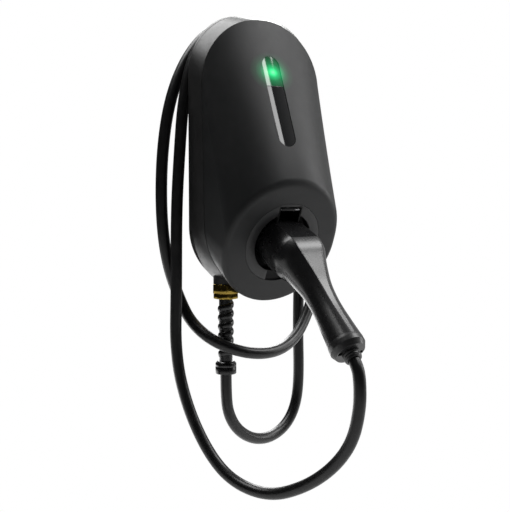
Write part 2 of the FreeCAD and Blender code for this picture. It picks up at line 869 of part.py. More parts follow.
strip_foot = -dim.strip_face - dim.lens_thickness
split = dim.strip_split
lens_slab = crowned_slab("lens_slab", -strip_half, split - dim.slip_gap / 2)
lens_pill = strip_pill("lens_pill", strip_foot, dim.lens_thickness * 2)
window_lens = boolean("Common", "window_lens", lens_slab, lens_pill)
button_slab = crowned_slab("button_slab", split + dim.slip_gap / 2, strip_half)
button_pill = strip_pill("button_pill", strip_foot, dim.lens_thickness * 2)
button_face = boolean("Common", "button_face", button_slab, button_pill)
button_middle = (split + strip_half) / 2
guide_foot = strip_foot - dim.guide_thickness
stem_foot = guide_foot + dim.strip_board_thickness + dim.switch_height + dim.soft_gap
button_stem = new_body("button_stem")
stem = new_sketch(button_stem, "stem", "XY_Plane", (0, 0, strip_foot))
draw_circle(stem, dim.stem_radius, 0, button_middle)
pad(button_stem, stem, strip_foot - stem_foot, reverse=True)
on_strip(button_stem)
status_button = fuse("status_button", [button_face, button_stem])

# Light guide under the lens, and the small board behind the strip with the button's switch
light_guide = new_body("light_guide")
guide_end = split - dim.button_travel
guide_half_width = dim.strip_half_width - dim.slip_gap * 2
guide = strip_outline(
    light_guide, "guide", strip_foot, guide_half_width, -strip_half + dim.soft_gap, guide_end
)
pad(light_guide, guide, dim.guide_thickness, reverse=True)
on_strip(light_guide)
led_board = new_body("led_board")
board_face = guide_foot
led_outline = new_sketch(led_board, "led_outline", "XY_Plane", (0, 0, board_face))
draw_box(led_outline, -dim.strip_board_half_width, dim.strip_board_half_width, -strip_half, strip_half)
pad(led_board, led_outline, dim.strip_board_thickness, reverse=True)
on_strip(led_board)
button_switch = new_body("button_switch")
switch_outline = new_sketch(button_switch, "switch_outline", "XY_Plane", (0, 0, board_face))
draw_box(
    switch_outline,
    -dim.switch_half_width,
    dim.switch_half_width,
    button_middle - dim.switch_half_width,
    button_middle + dim.switch_half_width,
)
pad(button_switch, switch_outline, stem_foot - dim.soft_gap - dim.button_travel - board_face)
on_strip(button_switch)

# Holster: a cup sunk in the disc, a flush ring over its flange and a sprung flap at its top

cup = new_body("holster_cup")
cup_half = new_sketch(cup, "cup_half", "XZ_Plane")
flange_foot = -dim.ring_thickness - dim.cup_flange
nose_bore = dim.nose_radius + dim.soft_gap
draw_polygon(
    cup_half,
    [
        (dim.ring_inner_radius, -dim.ring_thickness),
        (dim.ring_radius, -dim.ring_thickness),
        (dim.ring_radius, flange_foot),
        (dim.cup_radius, flange_foot),
        (dim.cup_radius, -dim.cup_mouth_depth),
        (nose_bore + dim.cup_floor, -dim.cup_mouth_depth - dim.cup_floor * 2),
        (nose_bore + dim.cup_floor, -dim.cup_depth - dim.cup_floor),
        (0, -dim.cup_depth - dim.cup_floor),
        (0, -dim.cup_depth),
        (nose_bore, -dim.cup_depth),
        (nose_bore, -dim.cup_mouth_depth - dim.cup_floor),
        (dim.ring_inner_radius, -dim.cup_mouth_depth),
    ],
)
revolve(cup, cup_half)
channel = new_sketch(cup, "channel")
channel_x = dim.hinge_block_half_width + dim.hinge_block_wall
channel_top = dim.hinge_block_top + dim.hinge_block_wall
draw_box(channel, -channel_x, channel_x, dim.head_flat + dim.soft_gap, channel_top)
pad(cup, channel, dim.cup_depth + dim.cup_floor, reverse=True)
channel_hollow = new_sketch(cup, "channel_hollow")
draw_box(channel_hollow, -dim.hinge_block_half_width, dim.hinge_block_half_width, 0, dim.hinge_block_top)
pocket(cup, channel_hollow, dim.cup_depth)
pin_holes = new_sketch(cup, "pin_holes", "YZ_Plane")
draw_circle(pin_holes, dim.pin_radius + dim.pin_gap, dim.hinge_height, -dim.hinge_inset)
pocket(cup, pin_holes, channel_x * 2, midplane=True)
on_disc(cup)

ring = new_body("holster_ring")
ring_face = new_sketch(ring, "ring_face")
draw_circle(ring_face, dim.ring_radius)
draw_circle(ring_face, dim.ring_inner_radius)
pad(ring, ring_face, dim.ring_thickness, reverse=True)
block_gap = new_sketch(ring, "block_gap")
draw_box(block_gap, -notch_x, notch_x, 0, dim.ring_radius * 2)
pocket(ring, block_gap, dim.ring_thickness)
ring_notch = new_sketch(ring, "ring_notch")
draw_box(ring_notch, -dim.notch_half_width, dim.notch_half_width, -dim.ring_radius * 2, 0)
pocket(ring, ring_notch, dim.notch_sink)
on_disc(ring)

pin = new_body("hinge_pin")
pin_end = new_sketch(pin, "pin_end", "YZ_Plane")
draw_circle(pin_end, dim.pin_radius)
pad(pin, pin_end, channel_x * 2, midplane=True)
on_disc(pin, (0, dim.hinge_height, -dim.hinge_inset))

flap = new_body("latch_flap")
barrel = new_sketch(flap, "barrel", "YZ_Plane", (0, 0, -dim.barrel_half_length))
draw_circle(barrel, dim.barrel_radius)
barrel_length = dim.barrel_half_length * 2 - dim.spring_space
pad(flap, barrel, barrel_length)
blade = new_sketch(flap, "blade", "YZ_Plane", (0, 0, -dim.barrel_half_length))
blade_half = dim.flap_thickness / 2
tip = -dim.flap_length
draw_box(blade, -blade_half, blade_half, tip, 0)
pad(flap, blade, barrel_length)
flap_tip = new_sketch(flap, "flap_tip", "YZ_Plane", (0, 0, -dim.barrel_half_length))
draw_circle(flap_tip, blade_half, 0, tip)
pad(flap, flap_tip, barrel_length)
flap_bore = new_sketch(flap, "flap_bore", "YZ_Plane")
draw_circle(flap_bore, dim.pin_radius + dim.pin_gap)
pocket(flap, flap_bore, dim.barrel_half_length * 4, midplane=True)
flap_swing = dim.disc_tilt + 90 - dim.flap_angle
pin_y = -dim.disc_depth + dim.hinge_inset * cosine(dim.disc_tilt) - dim.hinge_height * sine(dim.disc_tilt)
pin_z = -dim.disc_drop + dim.hinge_inset * sine(dim.disc_tilt) + dim.hinge_height * cosine(dim.disc_tilt)
set_placement(flap, "Placement", (0, pin_y, pin_z), (1, 0, 0), flap_swing)

spring_wire = dim.spring_wire.value
coil_radius = dim.barrel_radius.value - spring_wire
coil_length = dim.spring_pitch.value * dim.spring_turns.value
helix = Part.makeHelix(dim.spring_pitch.value, coil_length, coil_radius)
wire_section = Part.Wire(Part.makeCircle(spring_wire, Vector(coil_radius, 0, 0), Vector(0, 1, 0)))
spring = doc.addObject("Part::Feature", "flap_spring")
spring.Shape = Part.Wire(helix).makePipeShell([wire_section], True, True)
spring_margin = (dim.spring_space.value - coil_length) / 2
spring_start = Vector(dim.barrel_half_length.value - coil_length - spring_margin, pin_y.value, pin_z.value)
spring.Placement = Placement(spring_start, Rotation(Vector(0, 1, 0), 90))

# Vehicle connector. The head follows the plug axis and ends at a crease, from where the handle
# bends down and narrows. Its flat top is wide at the crease and runs out to a narrow strip.

bend = dim.handle_bend


def handle_sketch(body, name, distance):
    """Sketch square to the handle, at this distance beyond the crease."""
    y = -distance * sine(bend)
    z = dim.head_end + distance * cosine(bend)
    return new_sketch(body, name, "XY_Plane", (0, y, z), (1, 0, 0), bend)


def on_handle(item, distance):
    """Places an object with its local Z along the handle, this far beyond the crease."""
    y = -distance * sine(bend)
    z = dim.head_end + distance * cosine(bend)
    on_disc(item, (0, y, z), bend)


head = new_body("plug_head")
head_outline = new_sketch(head, "head_outline", "XY_Plane", (0, 0, -dim.head_start))
draw_flat_topped_circle(head_outline, dim.head_radius, dim.head_flat)
pad(head, head_outline, dim.head_start + dim.head_end)
handle = new_body("plug_handle")
crease = new_sketch(handle, "crease", "XY_Plane", (0, 0, dim.head_end))
draw_flat_topped_circle(crease, dim.head_radius, dim.head_flat)
handle_sections = [crease]
for word in ("shoulder", "throat", "neck", "waist", "grip"):
    section = handle_sketch(handle, "handle_" + word, getattr(dim, word + "_at"))
    draw_flat_topped_circle(section, getattr(dim, word + "_radius"), getattr(dim, word + "_flat"))
    handle_sections.append(section)
handle_mouth = handle_sketch(handle, "handle_mouth", dim.handle_end)
draw_flat_topped_circle(handle_mouth, dim.handle_end_radius, dim.handle_end_flat)
handle_sections.append(handle_mouth)
loft(handle, handle_sections, ruled=False)
screw_mouths = handle_sketch(handle, "screw_mouths", dim.handle_end)
for side in (-1, 1):
    draw_circle(screw_mouths, dim.cap_screw_radius + dim.screw_gap, side * dim.cap_screw_x)
pocket(handle, screw_mouths, dim.cap_screw_length)
on_disc(handle)
keel = new_sketch(head, "keel", "YZ_Plane")
throat_y = -dim.throat_at * sine(bend)
throat_z = dim.head_end + dim.throat_at * cosine(bend)
neck_y = -dim.neck_at * sine(bend) - dim.neck_radius * cosine(bend)
neck_z = dim.head_end + dim.neck_at * cosine(bend) - dim.neck_radius * sine(bend)
keel_y = -dim.ring_inner_radius + dim.cup_floor
draw_polygon(
    keel,
    [
        (throat_y, -dim.head_start),
        (keel_y, -dim.head_start),
        (keel_y, 0),
        (neck_y, neck_z),
        (throat_y, throat_z),
    ],
)
pad(head, keel, dim.keel_half_width * 2, midplane=True)
on_disc(head)
fuse("plug_shell", [head, handle])

nose = new_body("plug_nose")
nose_outline = new_sketch(nose, "nose_outline", "XY_Plane", (0, 0, -dim.nose_length))
draw_flat_topped_circle(nose_outline, dim.nose_radius, dim.head_flat)
pad(nose, nose_outline, dim.nose_length - dim.head_start)
contact_places = [
    (0, 0),
    (-dim.contact_middle_x, 0),
    (dim.contact_middle_x, 0),
    (-dim.contact_upper_x, dim.contact_upper_y),
    (dim.contact_upper_x, dim.contact_upper_y),
    (-dim.contact_lower_x, -dim.contact_lower_y),
    (dim.contact_lower_x, -dim.contact_lower_y),
]
contact_holes = new_sketch(nose, "contact_holes", "XY_Plane", (0, 0, -dim.nose_length))
for x, y in contact_places:
    draw_circle(contact_holes, dim.contact_radius + dim.slip_gap, x, y)
pocket(nose, contact_holes, dim.contact_length, reverse=True)
on_disc(nose)
contact_bodies = []
for number, (x, y) in enumerate(contact_places, start=1):
    contact = new_body("contact_%d" % number)
    section = new_sketch(contact, "contact_section_%d" % number, "XY_Plane", (0, 0, -dim.nose_length))
    draw_circle(section, dim.contact_radius, x, y)
    draw_circle(section, dim.contact_bore, x, y)
    pad(contact, section, dim.contact_length)
    on_disc(contact)
    contact_bodies.append(contact)
compound("plug_contacts", contact_bodies)

cap = new_body("plug_end_cap")
cap_half = new_sketch(cap, "cap_half", "XZ_Plane")
cable_clearance = dim.cable_radius + dim.slip_gap
draw_polygon(
    cap_half,
    [
        (cable_clearance, 0),
        (dim.handle_end_radius, 0),
        (dim.cap_radius, dim.cap_rounding),
        (dim.cap_radius, dim.cap_thickness - dim.cap_rounding * 2),
        (dim.cap_radius - dim.cap_rounding, dim.cap_thickness),
        (cable_clearance, dim.cap_thickness),
    ],
)
revolve(cap, cap_half)
cap_holes = new_sketch(cap, "cap_holes", "XY_Plane", (0, 0, dim.cap_thickness))
cap_sinks = new_sketch(cap, "cap_sinks", "XY_Plane", (0, 0, dim.cap_thickness))
for side in (-1, 1):
    draw_circle(cap_holes, dim.cap_screw_radius + dim.screw_gap, side * dim.cap_screw_x)
    draw_circle(cap_sinks, dim.cap_screw_head + dim.screw_gap, side * dim.cap_screw_x)
pocket(cap, cap_holes, dim.cap_thickness)
pocket(cap, cap_sinks, dim.cap_screw_sink)
on_handle(cap, dim.handle_end)

cap_screw_bodies = []
for side, word in ((-1, "left"), (1, "right")):
    item = screw("cap_screw_" + word, dim.cap_screw_length, dim.cap_screw_head, dim.cap_screw_radius)
    screw_y = -dim.handle_end * sine(bend) - (dim.cap_thickness - dim.cap_screw_sink) * sine(bend)
    screw_z = dim.head_end + (dim.handle_end + dim.cap_thickness - dim.cap_screw_sink) * cosine(bend)
    on_disc(item, (side * dim.cap_screw_x, screw_y, screw_z), bend)
    cap_screw_bodies.append(item)
compound("cap_screws", cap_screw_bodies)

nut_at = dim.handle_end + dim.cap_thickness
cable_nut = new_body("plug_cable_nut")
nut_half = new_sketch(cable_nut, "nut_half", "XZ_Plane")
third = dim.cable_nut_length / 3
draw_polygon(
    nut_half,
    [
        (cable_clearance, 0),
        (dim.cable_nut_radius, 0),
        (dim.cable_nut_radius, third - dim.cable_nut_groove),
        (dim.cable_nut_radius - dim.cable_nut_groove, third),
        (dim.cable_nut_radius, third + dim.cable_nut_groove),
        (dim.cable_nut_radius, third * 2 - dim.cable_nut_groove),
        (dim.cable_nut_radius - dim.cable_nut_groove, third * 2),
        (dim.cable_nut_radius, third * 2 + dim.cable_nut_groove),
        (dim.cable_nut_radius - dim.cable_nut_groove, dim.cable_nut_length),
        (cable_clearance, dim.cable_nut_length),
    ],
)
revolve(cable_nut, nut_half)
on_handle(cable_nut, nut_at)

# Cable entry: gland screwed into the boss under the tub, then the ribbed flexible sleeve


def draw_hexagon(sketch, across_flats):
    """Draws a hexagon with two of its sides upright."""
    half = as_size(across_flats) / 2
    corner = half * (2 / math.sqrt(3))
    low = corner / 2
    draw_polygon(
        sketch,
        [(0, corner), (-half, low), (-half, -low), (0, -corner), (half, -low), (half, low)],
    )


gland_face = -dim.gland_boss_face - dim.gland_seal_thickness
sleeve_bore = dim.cable_radius + dim.slip_gap


def on_gland(item, z):
    """Places an object on the gland's upright axis."""
    set_placement(item, "Placement", (-dim.gland_x, -dim.gland_depth, z), (1, 0, 0), 0)


seal = new_body("gland_seal")
seal_ring = new_sketch(seal, "seal_ring")
draw_circle(seal_ring, dim.gland_seal_radius)
draw_circle(seal_ring, dim.gland_thread_radius + dim.screw_gap)
pad(seal, seal_ring, dim.gland_seal_thickness)
on_gland(seal, gland_face)

gland = new_body("gland_body")
gland_flange = new_sketch(gland, "gland_flange")
draw_hexagon(gland_flange, dim.gland_hex)
pad(gland, gland_flange, dim.gland_hex_height, reverse=True)
gland_thread = new_sketch(gland, "gland_thread")
draw_circle(gland_thread, dim.gland_thread_radius)
thread_length = dim.gland_boss_height + dim.gland_seal_thickness
pad(gland, gland_thread, thread_length)
gland_bore = new_sketch(gland, "gland_bore", "XY_Plane", (0, 0, thread_length))
draw_circle(gland_bore, sleeve_bore)
pocket(gland, gland_bore, thread_length + dim.gland_hex_height)
on_gland(gland, gland_face)

nut_hexagon = new_body("nut_hexagon")
nut_outline = new_sketch(nut_hexagon, "nut_outline")
draw_hexagon(nut_outline, dim.gland_nut_hex)
draw_circle(nut_outline, sleeve_bore)
pad(nut_hexagon, nut_outline, dim.gland_nut_height, reverse=True)
on_gland(nut_hexagon, gland_face - dim.gland_hex_height)
nut_turning = new_body("nut_turning")
nut_half = new_sketch(nut_turning, "nut_half", "XZ_Plane")
nut_corner = dim.gland_nut_hex / math.sqrt(3)
draw_polygon(
    nut_half,
    [
        (0, 0),
        (nut_corner, 0),
        (nut_corner, dim.gland_nut_chamfer - dim.gland_nut_height),
        (nut_corner - dim.gland_nut_chamfer * 2, -dim.gland_nut_height),
        (0, -dim.gland_nut_height),
    ],
)
revolve(nut_turning, nut_half)
on_gland(nut_turning, gland_face - dim.gland_hex_height)
gland_nut = boolean("Common", "gland_nut", nut_hexagon, nut_turning)

sleeve_top = gland_face - dim.gland_hex_height - dim.gland_nut_height
sleeve = new_body("strain_relief_sleeve")
sleeve_tube = new_sketch(sleeve, "sleeve_tube")
draw_circle(sleeve_tube, sleeve_bore + dim.sleeve_wall)
draw_circle(sleeve_tube, sleeve_bore)
pad(sleeve, sleeve_tube, dim.sleeve_length, reverse=True)
rib = new_sketch(sleeve, "rib", "XZ_Plane")
rib_root = sleeve_bore + dim.sleeve_wall / 2
rib_crest = sleeve_bore + dim.sleeve_wall + dim.rib_depth
rib_foot = -dim.sleeve_length + dim.rib_end
draw_polygon(
    rib,
    [
        (rib_root, rib_foot - dim.rib_width / 2),
        (rib_crest, rib_foot - dim.rib_crest_width / 2),
        (rib_crest, rib_foot + dim.rib_crest_width / 2),
        (rib_root, rib_foot + dim.rib_width / 2),
    ],
)
spiral = sleeve.newObject("PartDesign::AdditiveHelix", "rib_spiral")
spiral.Profile = rib
spiral.ReferenceAxis = (rib, ["V_Axis"])
spiral.Mode = 0
bind(spiral, "Pitch", dim.rib_pitch)
bind(spiral, "Height", dim.sleeve_length - dim.rib_end * 2)
on_gland(sleeve, sleeve_top)

collar = new_body("sleeve_collar")
collar_half = new_sketch(collar, "collar_half", "XZ_Plane")
draw_polygon(
    collar_half,
    [
        (sleeve_bore, 0),
        (dim.collar_radius - dim.collar_chamfer, 0),
        (dim.collar_radius, -dim.collar_chamfer),
        (dim.collar_radius, dim.collar_rounding - dim.collar_length),
        (dim.collar_radius - dim.collar_rounding, -dim.collar_length),
        (sleeve_bore, -dim.collar_length),
    ],
)
revolve(collar, collar_half)
on_gland(collar, sleeve_top - dim.sleeve_length)

# Electrical pieces inside the housing

main_board = new_body("main_board")
board_outline = new_sketch(main_board, "board_outline", "XZ_Plane", (0, 0, standoff_face))
draw_box(board_outline, -dim.board_half_width, dim.board_half_width, dim.board_bottom, dim.board_top)
pad(main_board, board_outline, dim.board_thickness)
board_holes = new_sketch(main_board, "board_holes", "XZ_Plane", (0, 0, standoff_face + dim.board_thickness))
for x, z in standoff_places:
    draw_circle(board_holes, dim.screw_radius + dim.screw_gap, x, z)
pocket(main_board, board_holes, dim.board_thickness)
main_face = standoff_face + dim.board_thickness

board_screw_bodies = []
for number, (x, z) in enumerate(standoff_places, start=1):
    item = screw("board_screw_%d" % number, dim.board_screw_length)
    facing_front(item, x, -main_face, z)
    board_screw_bodies.append(item)
compound("board_screws", board_screw_bodies)


def block_on_board(label, left, low, width, height, depth):
    """Plain moulded block standing on the face of the main board."""
    body = new_body(label)
    outline = new_sketch(body, label + "_outline", "XZ_Plane", (0, 0, main_face))
    draw_box(outline, left, left + width, low, low + height)
    pad(body, outline, depth)
    return body


relay_low = dim.board_bottom + dim.block_gap
upper_row = relay_low + dim.relay_height + dim.block_gap
block_on_board(
    "mains_relay", -dim.relay_width / 2, relay_low, dim.relay_width, dim.relay_height, dim.relay_depth
)
supply_left = -dim.supply_width - dim.block_gap
block_on_board(
    "power_supply", supply_left, upper_row, dim.supply_width, dim.supply_height, dim.supply_depth
)
radio = new_body("radio_board")
radio_outline = new_sketch(radio, "radio_outline", "YZ_Plane")
radio_low = upper_row + dim.supply_height + dim.block_gap
radio_high = radio_low + dim.radio_height
draw_box(radio_outline, -main_face - dim.radio_half_width, -main_face, radio_low, radio_high)
pad(radio, radio_outline, dim.radio_thickness)
sensor = new_body("current_sensor")
sensor_ring = new_sketch(sensor, "sensor_ring", "XZ_Plane", (0, 0, main_face))
sensor_x = dim.sensor_radius + dim.block_gap
sensor_z = upper_row + dim.sensor_radius
draw_circle(sensor_ring, dim.sensor_radius, sensor_x, sensor_z)
draw_circle(sensor_ring, dim.sensor_bore, sensor_x, sensor_z)
pad(sensor, sensor_ring, dim.sensor_height)
terminal_x = dim.rim_half_width - dim.terminal_inset
terminal = new_body("terminal_block")
terminal_outline = new_sketch(terminal, "terminal_outline", "XZ_Plane", (0, 0, dim.rim_depth + dim.back_wall))
draw_box(
    terminal_outline,
    -terminal_x - dim.terminal_width / 2,
    -terminal_x + dim.terminal_width / 2,
    -dim.terminal_z - dim.terminal_height / 2,
    -dim.terminal_z + dim.terminal_height / 2,
)
pad(terminal, terminal_outline, dim.terminal_depth)

grommet = new_body("supply_grommet")
grommet_half = new_sketch(grommet, "grommet_half", "XZ_Plane")
grommet_waist = dim.grommet_radius - dim.grommet_lip - dim.slip_gap
draw_polygon(
    grommet_half,
    [
        (0, dim.grommet_lip),
        (0, -dim.hub_wall),
        (grommet_waist, -dim.hub_wall),
        (grommet_waist, 0),
        (dim.grommet_radius, 0),
        (dim.grommet_radius, dim.grommet_lip),
    ],
)
revolve(grommet, grommet_half)
facing_front(grommet, 0, -hub_floor_depth, -dim.grommet_z)

# The straight stretch of cable inside the sleeve and the gland

entry_top = gland_top
entry_foot = sleeve_top - dim.sleeve_length - dim.collar_length + dim.cable_insertion
inner_cable = new_body("cable_in_gland")
inner_section = new_sketch(inner_cable, "inner_section")
draw_circle(inner_section, dim.cable_radius)
pad(inner_cable, inner_section, entry_top - entry_foot)
on_gland(inner_cable, entry_foot)

# Charging cable: straight runs joined by tangent arcs. It leaves the sleeve, makes two turns over
# the hub behind the rim, and hangs in a loop up to the connector. The first and last points belong
# to the gland and to the connector; the others are read from the photograph.


def nut_point(distance):
    """Point on the axis of the connector's nut, at this distance beyond the crease."""
    y = -distance * sine(bend)
    z = dim.head_end + distance * cosine(bend)
    base = disc_point(0, y, z)
    return (0, base[1].value, base[2].value)


cable_end = nut_at + dim.cable_nut_length
entry = (-dim.gland_x.value, -dim.gland_depth.value)
cable_points = [
    (entry[0], entry[1], entry_foot.value),
    (entry[0], entry[1], entry_foot.value - dim.entry_run.value),
    (-40, -39.3, -313),
    (-25, -35.5, -337),
    (3, -27.5, -354.5),
    (34, -19, -358.5),
    (62, -12, -348),
    (79, -8.3, -325),
    (84, -7.8, -290),
    (82, -7.8, -225),
    (84, -7.8, -130),
    (82, -7.8, -30),
    (84, -7.8, 55),
    (75, -7.8, 104),
    (46, -7.8, 138),
    (3, -7.8, 149),
    (-40, -7.8, 142),
    (-73, -7.8, 106),
    (-96.5, -7.8, 57),
    (-108, -7.8, -5),
    (-110, -7.8, -80),
    (-102.5, -7.8, -137),
    (-86, -8.5, -181),
    (-78, -21, -206),
    (-65.5, -47, -224.5),
    (-38, -63.5, -237.5),
    (-6, -65.5, -243),
    (26, -58, -240.5),
    (53, -47, -229),
    (74, -36, -210),
    (91, -27, -186),
    (94.5, -22.3, -142),
    (93, -22.3, -60),
    (95.5, -22.3, 25),
    (88, -22.3, 82),
    (64, -22.3, 124),
    (28, -22.3, 146),
    (-14, -22.3, 149),
    (-53, -22.3, 135),
    (-76, -22.3, 99),
    (-88, -22.3, 50),
    (-93, -22.3, -8),
    (-97.5, -22.3, -75),
    (-98, -22.3, -160),
    (-100, -22, -243),
    (-92, -37, -303),
    (-79, -65, -353),
    (-65, -96, -379),
    (-45, -138, -386),
    (-26, -178, -368),
    (-12, -209, -342),
    (-3, -230, -311),
    (0, -238.2, -275),
    (0, -238, -246),
    nut_point(cable_end + dim.nut_run),
    nut_point(cable_end - dim.cable_insertion),
]


def cable_path(points, share):
    """Wire of straight runs and tangent arcs, with the arcs' radii and the wire's length."""
    corners = [Vector(*point) for point in points]
    edges, radii = [], []
    start = corners[0]
    for before, corner, after in zip(corners, corners[1:], corners[2:]):
        inward = (corner - before).normalize()
        outward = (after - corner).normalize()
        half_turn = inward.getAngle(outward) / 2
        reach = share * min(before.distanceToPoint(corner), corner.distanceToPoint(after))
        radius = reach / math.tan(half_turn)
        first = corner - inward * reach
        last = corner + outward * reach
        to_centre = (outward - inward).normalize() * (radius / math.cos(half_turn))
        middle = corner + to_centre - (outward - inward).normalize() * radius
        edges.append(Part.LineSegment(start, first).toShape())
        edges.append(Part.Arc(first, middle, last).toShape())
        radii.append(radius)
        start = last
    edges.append(Part.LineSegment(start, corners[-1]).toShape())
    return Part.Wire(edges), radii


path, radii = cable_path(cable_points, dim.cable_arc_share.value)
section = Part.Wire(Part.makeCircle(dim.cable_radius.value, Vector(*cable_points[0]), Vector(0, 0, 1)))
cable = doc.addObject("Part::Feature", "charging_cable")
cable.Shape = path.makePipeShell([section], True, False)
cable.Placement = Placement(Vector(0, 0, 0), Rotation())
expected = math.pi * dim.cable_radius.value**2 * path.Length
print("cable length %.1f mm, radii %s" % (path.Length, [round(radius) for radius in radii]))
print("cable volume %.0f of %.0f expected" % (cable.Shape.Volume, expected))

# Every object and every shape is checked before the files are written

node_names = [
    "wall_bracket",
    "fixing_screws",
    "rear_housing",
    "supply_grommet",
    "housing_gasket",
    "front_cover",
    "cover_screws",
    "window_lens",
    "light_guide",
    "led_board",
    "status_button",
    "button_switch",
    "holster_cup",
    "holster_ring",
    "hinge_pin",
    "latch_flap",
    "flap_spring",
    "main_board",
    "board_screws",
    "mains_relay",
    "power_supply",
    "current_sensor",
    "radio_board",
    "terminal_block",
    "gland_body",
    "gland_seal",
    "gland_nut",
    "strain_relief_sleeve",
    "sleeve_collar",
    "cable_in_gland",
    "charging_cable",
    "plug_shell",
    "plug_nose",
    "plug_contacts",
    "plug_end_cap",
    "cap_screws",
    "plug_cable_nut",
]
doc.recompute()
for item in doc.Objects:
    if any(word in item.State for word in ("Invalid", "Error")):
        raise RuntimeError("%s failed: %s" % (item.Label, item.getStatusString()))
nodes = [doc.getObjectsByLabel(name)[0] for name in node_names]
for item in nodes:
    if item.Shape.isNull() or not item.Shape.isValid() or not item.Shape.Solids:
        raise RuntimeError("%s has no sound solid" % item.Label)
os.makedirs("parts", exist_ok=True)
for item in nodes:
    item.Shape.exportStep("parts/%s.step" % item.Label)
print("wrote %d parts" % len(nodes))
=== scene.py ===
import bpy, bmesh, json, math
from mathutils import Matrix, Vector


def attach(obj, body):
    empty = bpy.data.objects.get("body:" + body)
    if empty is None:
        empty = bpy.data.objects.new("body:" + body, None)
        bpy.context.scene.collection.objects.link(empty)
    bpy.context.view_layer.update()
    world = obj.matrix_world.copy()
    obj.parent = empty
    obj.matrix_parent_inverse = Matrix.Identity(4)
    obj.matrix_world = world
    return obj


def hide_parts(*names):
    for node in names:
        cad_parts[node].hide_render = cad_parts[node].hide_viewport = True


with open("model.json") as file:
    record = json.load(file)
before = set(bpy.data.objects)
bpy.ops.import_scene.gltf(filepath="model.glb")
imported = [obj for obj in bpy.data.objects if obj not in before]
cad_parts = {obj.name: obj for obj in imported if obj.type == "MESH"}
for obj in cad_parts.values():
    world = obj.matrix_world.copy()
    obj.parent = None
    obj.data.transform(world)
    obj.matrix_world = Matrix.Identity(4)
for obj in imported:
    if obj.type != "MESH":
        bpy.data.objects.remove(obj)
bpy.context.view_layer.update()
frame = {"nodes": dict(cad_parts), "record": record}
nodes = frame["nodes"]
print("frame loaded,", len(nodes), "nodes")

# camera, set from the photograph: a long lens, a little above and to the left of the charger
shot = {
    "azimuth": -32.2,      # degrees, negative is to the left of the front
    "elevation": 4.5,
    "distance": 1.187,
    "toTheRight": 0.0193,  # where it aims, along its own right
    "height": -0.1324,
    "lens": 68.34,
    "sensor": 36,
    "clip": (0.05, 20),
}


def addCamera(s):
    a, e = math.radians(s["azimuth"]), math.radians(s["elevation"])
    back = Vector((math.sin(a) * math.cos(e), -math.cos(a) * math.cos(e), math.sin(e)))
    right = Vector((math.cos(a), math.sin(a), 0))
    data = bpy.data.cameras.new("camera")
    camera = bpy.data.objects.new("camera", data)
    bpy.context.scene.collection.objects.link(camera)
    data.lens = s["lens"]
    data.sensor_width = s["sensor"]
    data.clip_start, data.clip_end = s["clip"]
    camera.location = right * s["toTheRight"] + Vector((0, 0, s["height"])) + back * s["distance"]
    camera.rotation_mode = "QUATERNION"
    camera.rotation_quaternion = (-back).to_track_quat("-Z", "Y")
    bpy.context.scene.camera = camera


addCamera(shot)
print("camera in place")

# the charging cable: out of the sleeve, two turns over the hub, then the loop up to the connector
cable = {
    "diameter": 0.0135,
    "exit": (-0.0427, -0.04, -0.267),
    "length": 2.6,
    "stepsAlong": 10,
    "stepsRound": 8,
    # control points in millimetres, the first one inside the sleeve
    "points": [
        (-42.7, -40, -262), (-42.7, -40, -287), (-40, -39.3, -313), (-25, -35.5, -337),
        (3, -27.5, -354.5), (34, -19, -358.5), (62, -12, -348), (79, -8.3, -325), (84, -7.8, -290),
        (82, -7.8, -225), (84, -7.8, -130), (82, -7.8, -30), (84, -7.8, 55), (75, -7.8, 104),
        (46, -7.8, 138), (3, -7.8, 142), (-40, -7.8, 138), (-73, -7.8, 106), (-96.5, -7.8, 57),
        (-108, -7.8, -5), (-110, -7.8, -80), (-102.5, -7.8, -137), (-86, -8.5, -181), (-78, -21, -206),
        (-65.5, -47, -224.5), (-38, -63.5, -237.5), (-6, -65.5, -243), (26, -58, -240.5),
        (53, -47, -229), (74, -36, -210), (91, -27, -186), (94.5, -22.3, -142), (93, -22.3, -60),
        (95.5, -22.3, 25), (88, -22.3, 82), (64, -22.3, 124), (28, -22.3, 140), (-14, -22.3, 143),
        (-53, -22.3, 132), (-76, -22.3, 99), (-88, -22.3, 50), (-93, -22.3, -8), (-97.5, -22.3, -75),
        (-98, -22.3, -160), (-100, -22, -243), (-92, -37, -303), (-79, -65, -353), (-65, -96, -379),
        (-45, -138, -386), (-26, -178, -368), (-12, -209, -342), (-3, -230, -311), (0, -238.2, -275),
        (0, -238, -246), (0, -233.5, -230.2), (0, -224.7, -221.4),
    ],
}


def laidCable(c):
    curve = bpy.data.curves.new("chargingCable", "CURVE")
    curve.dimensions = "3D"
    line = curve.splines.new("NURBS")
    line.points.add(len(c["points"]) - 1)
    for point, spot in zip(line.points, c["points"]):
        point.co = [value / 1000 for value in spot] + [1]
        point.radius = c["diameter"] / 2  # also what the curve's bounds are widened by
    line.order_u = 3
    line.use_endpoint_u = True
    line.resolution_u = c["stepsAlong"]
    curve.bevel_depth = 1  # times each point's radius
    curve.bevel_resolution = c["stepsRound"]
    curve.use_fill_caps = True
    piece = bpy.data.objects.new("chargingCable", curve)
    bpy.context.scene.collection.objects.link(piece)
    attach(piece, "base")
    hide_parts("charging_cable")
    return piece


cablePiece = laidCable(cable)
print("cable laid")


# materials: every finish is a principled shader with its own grain, mottling and unevenness
texture = {
    "spread": (0.3, 0.7),  # where the ramps of the noise start and end
    "plasticPatches": 38,  # noise scales: of the colour, then of the shine
    "plasticWear": 160,
    "metalPatches": 90,
    "metalStrength": 0.1,
    "metalDepth": 0.00001,
    "metalEdge": 0.0007,
    "edgeSamples": 6,
}


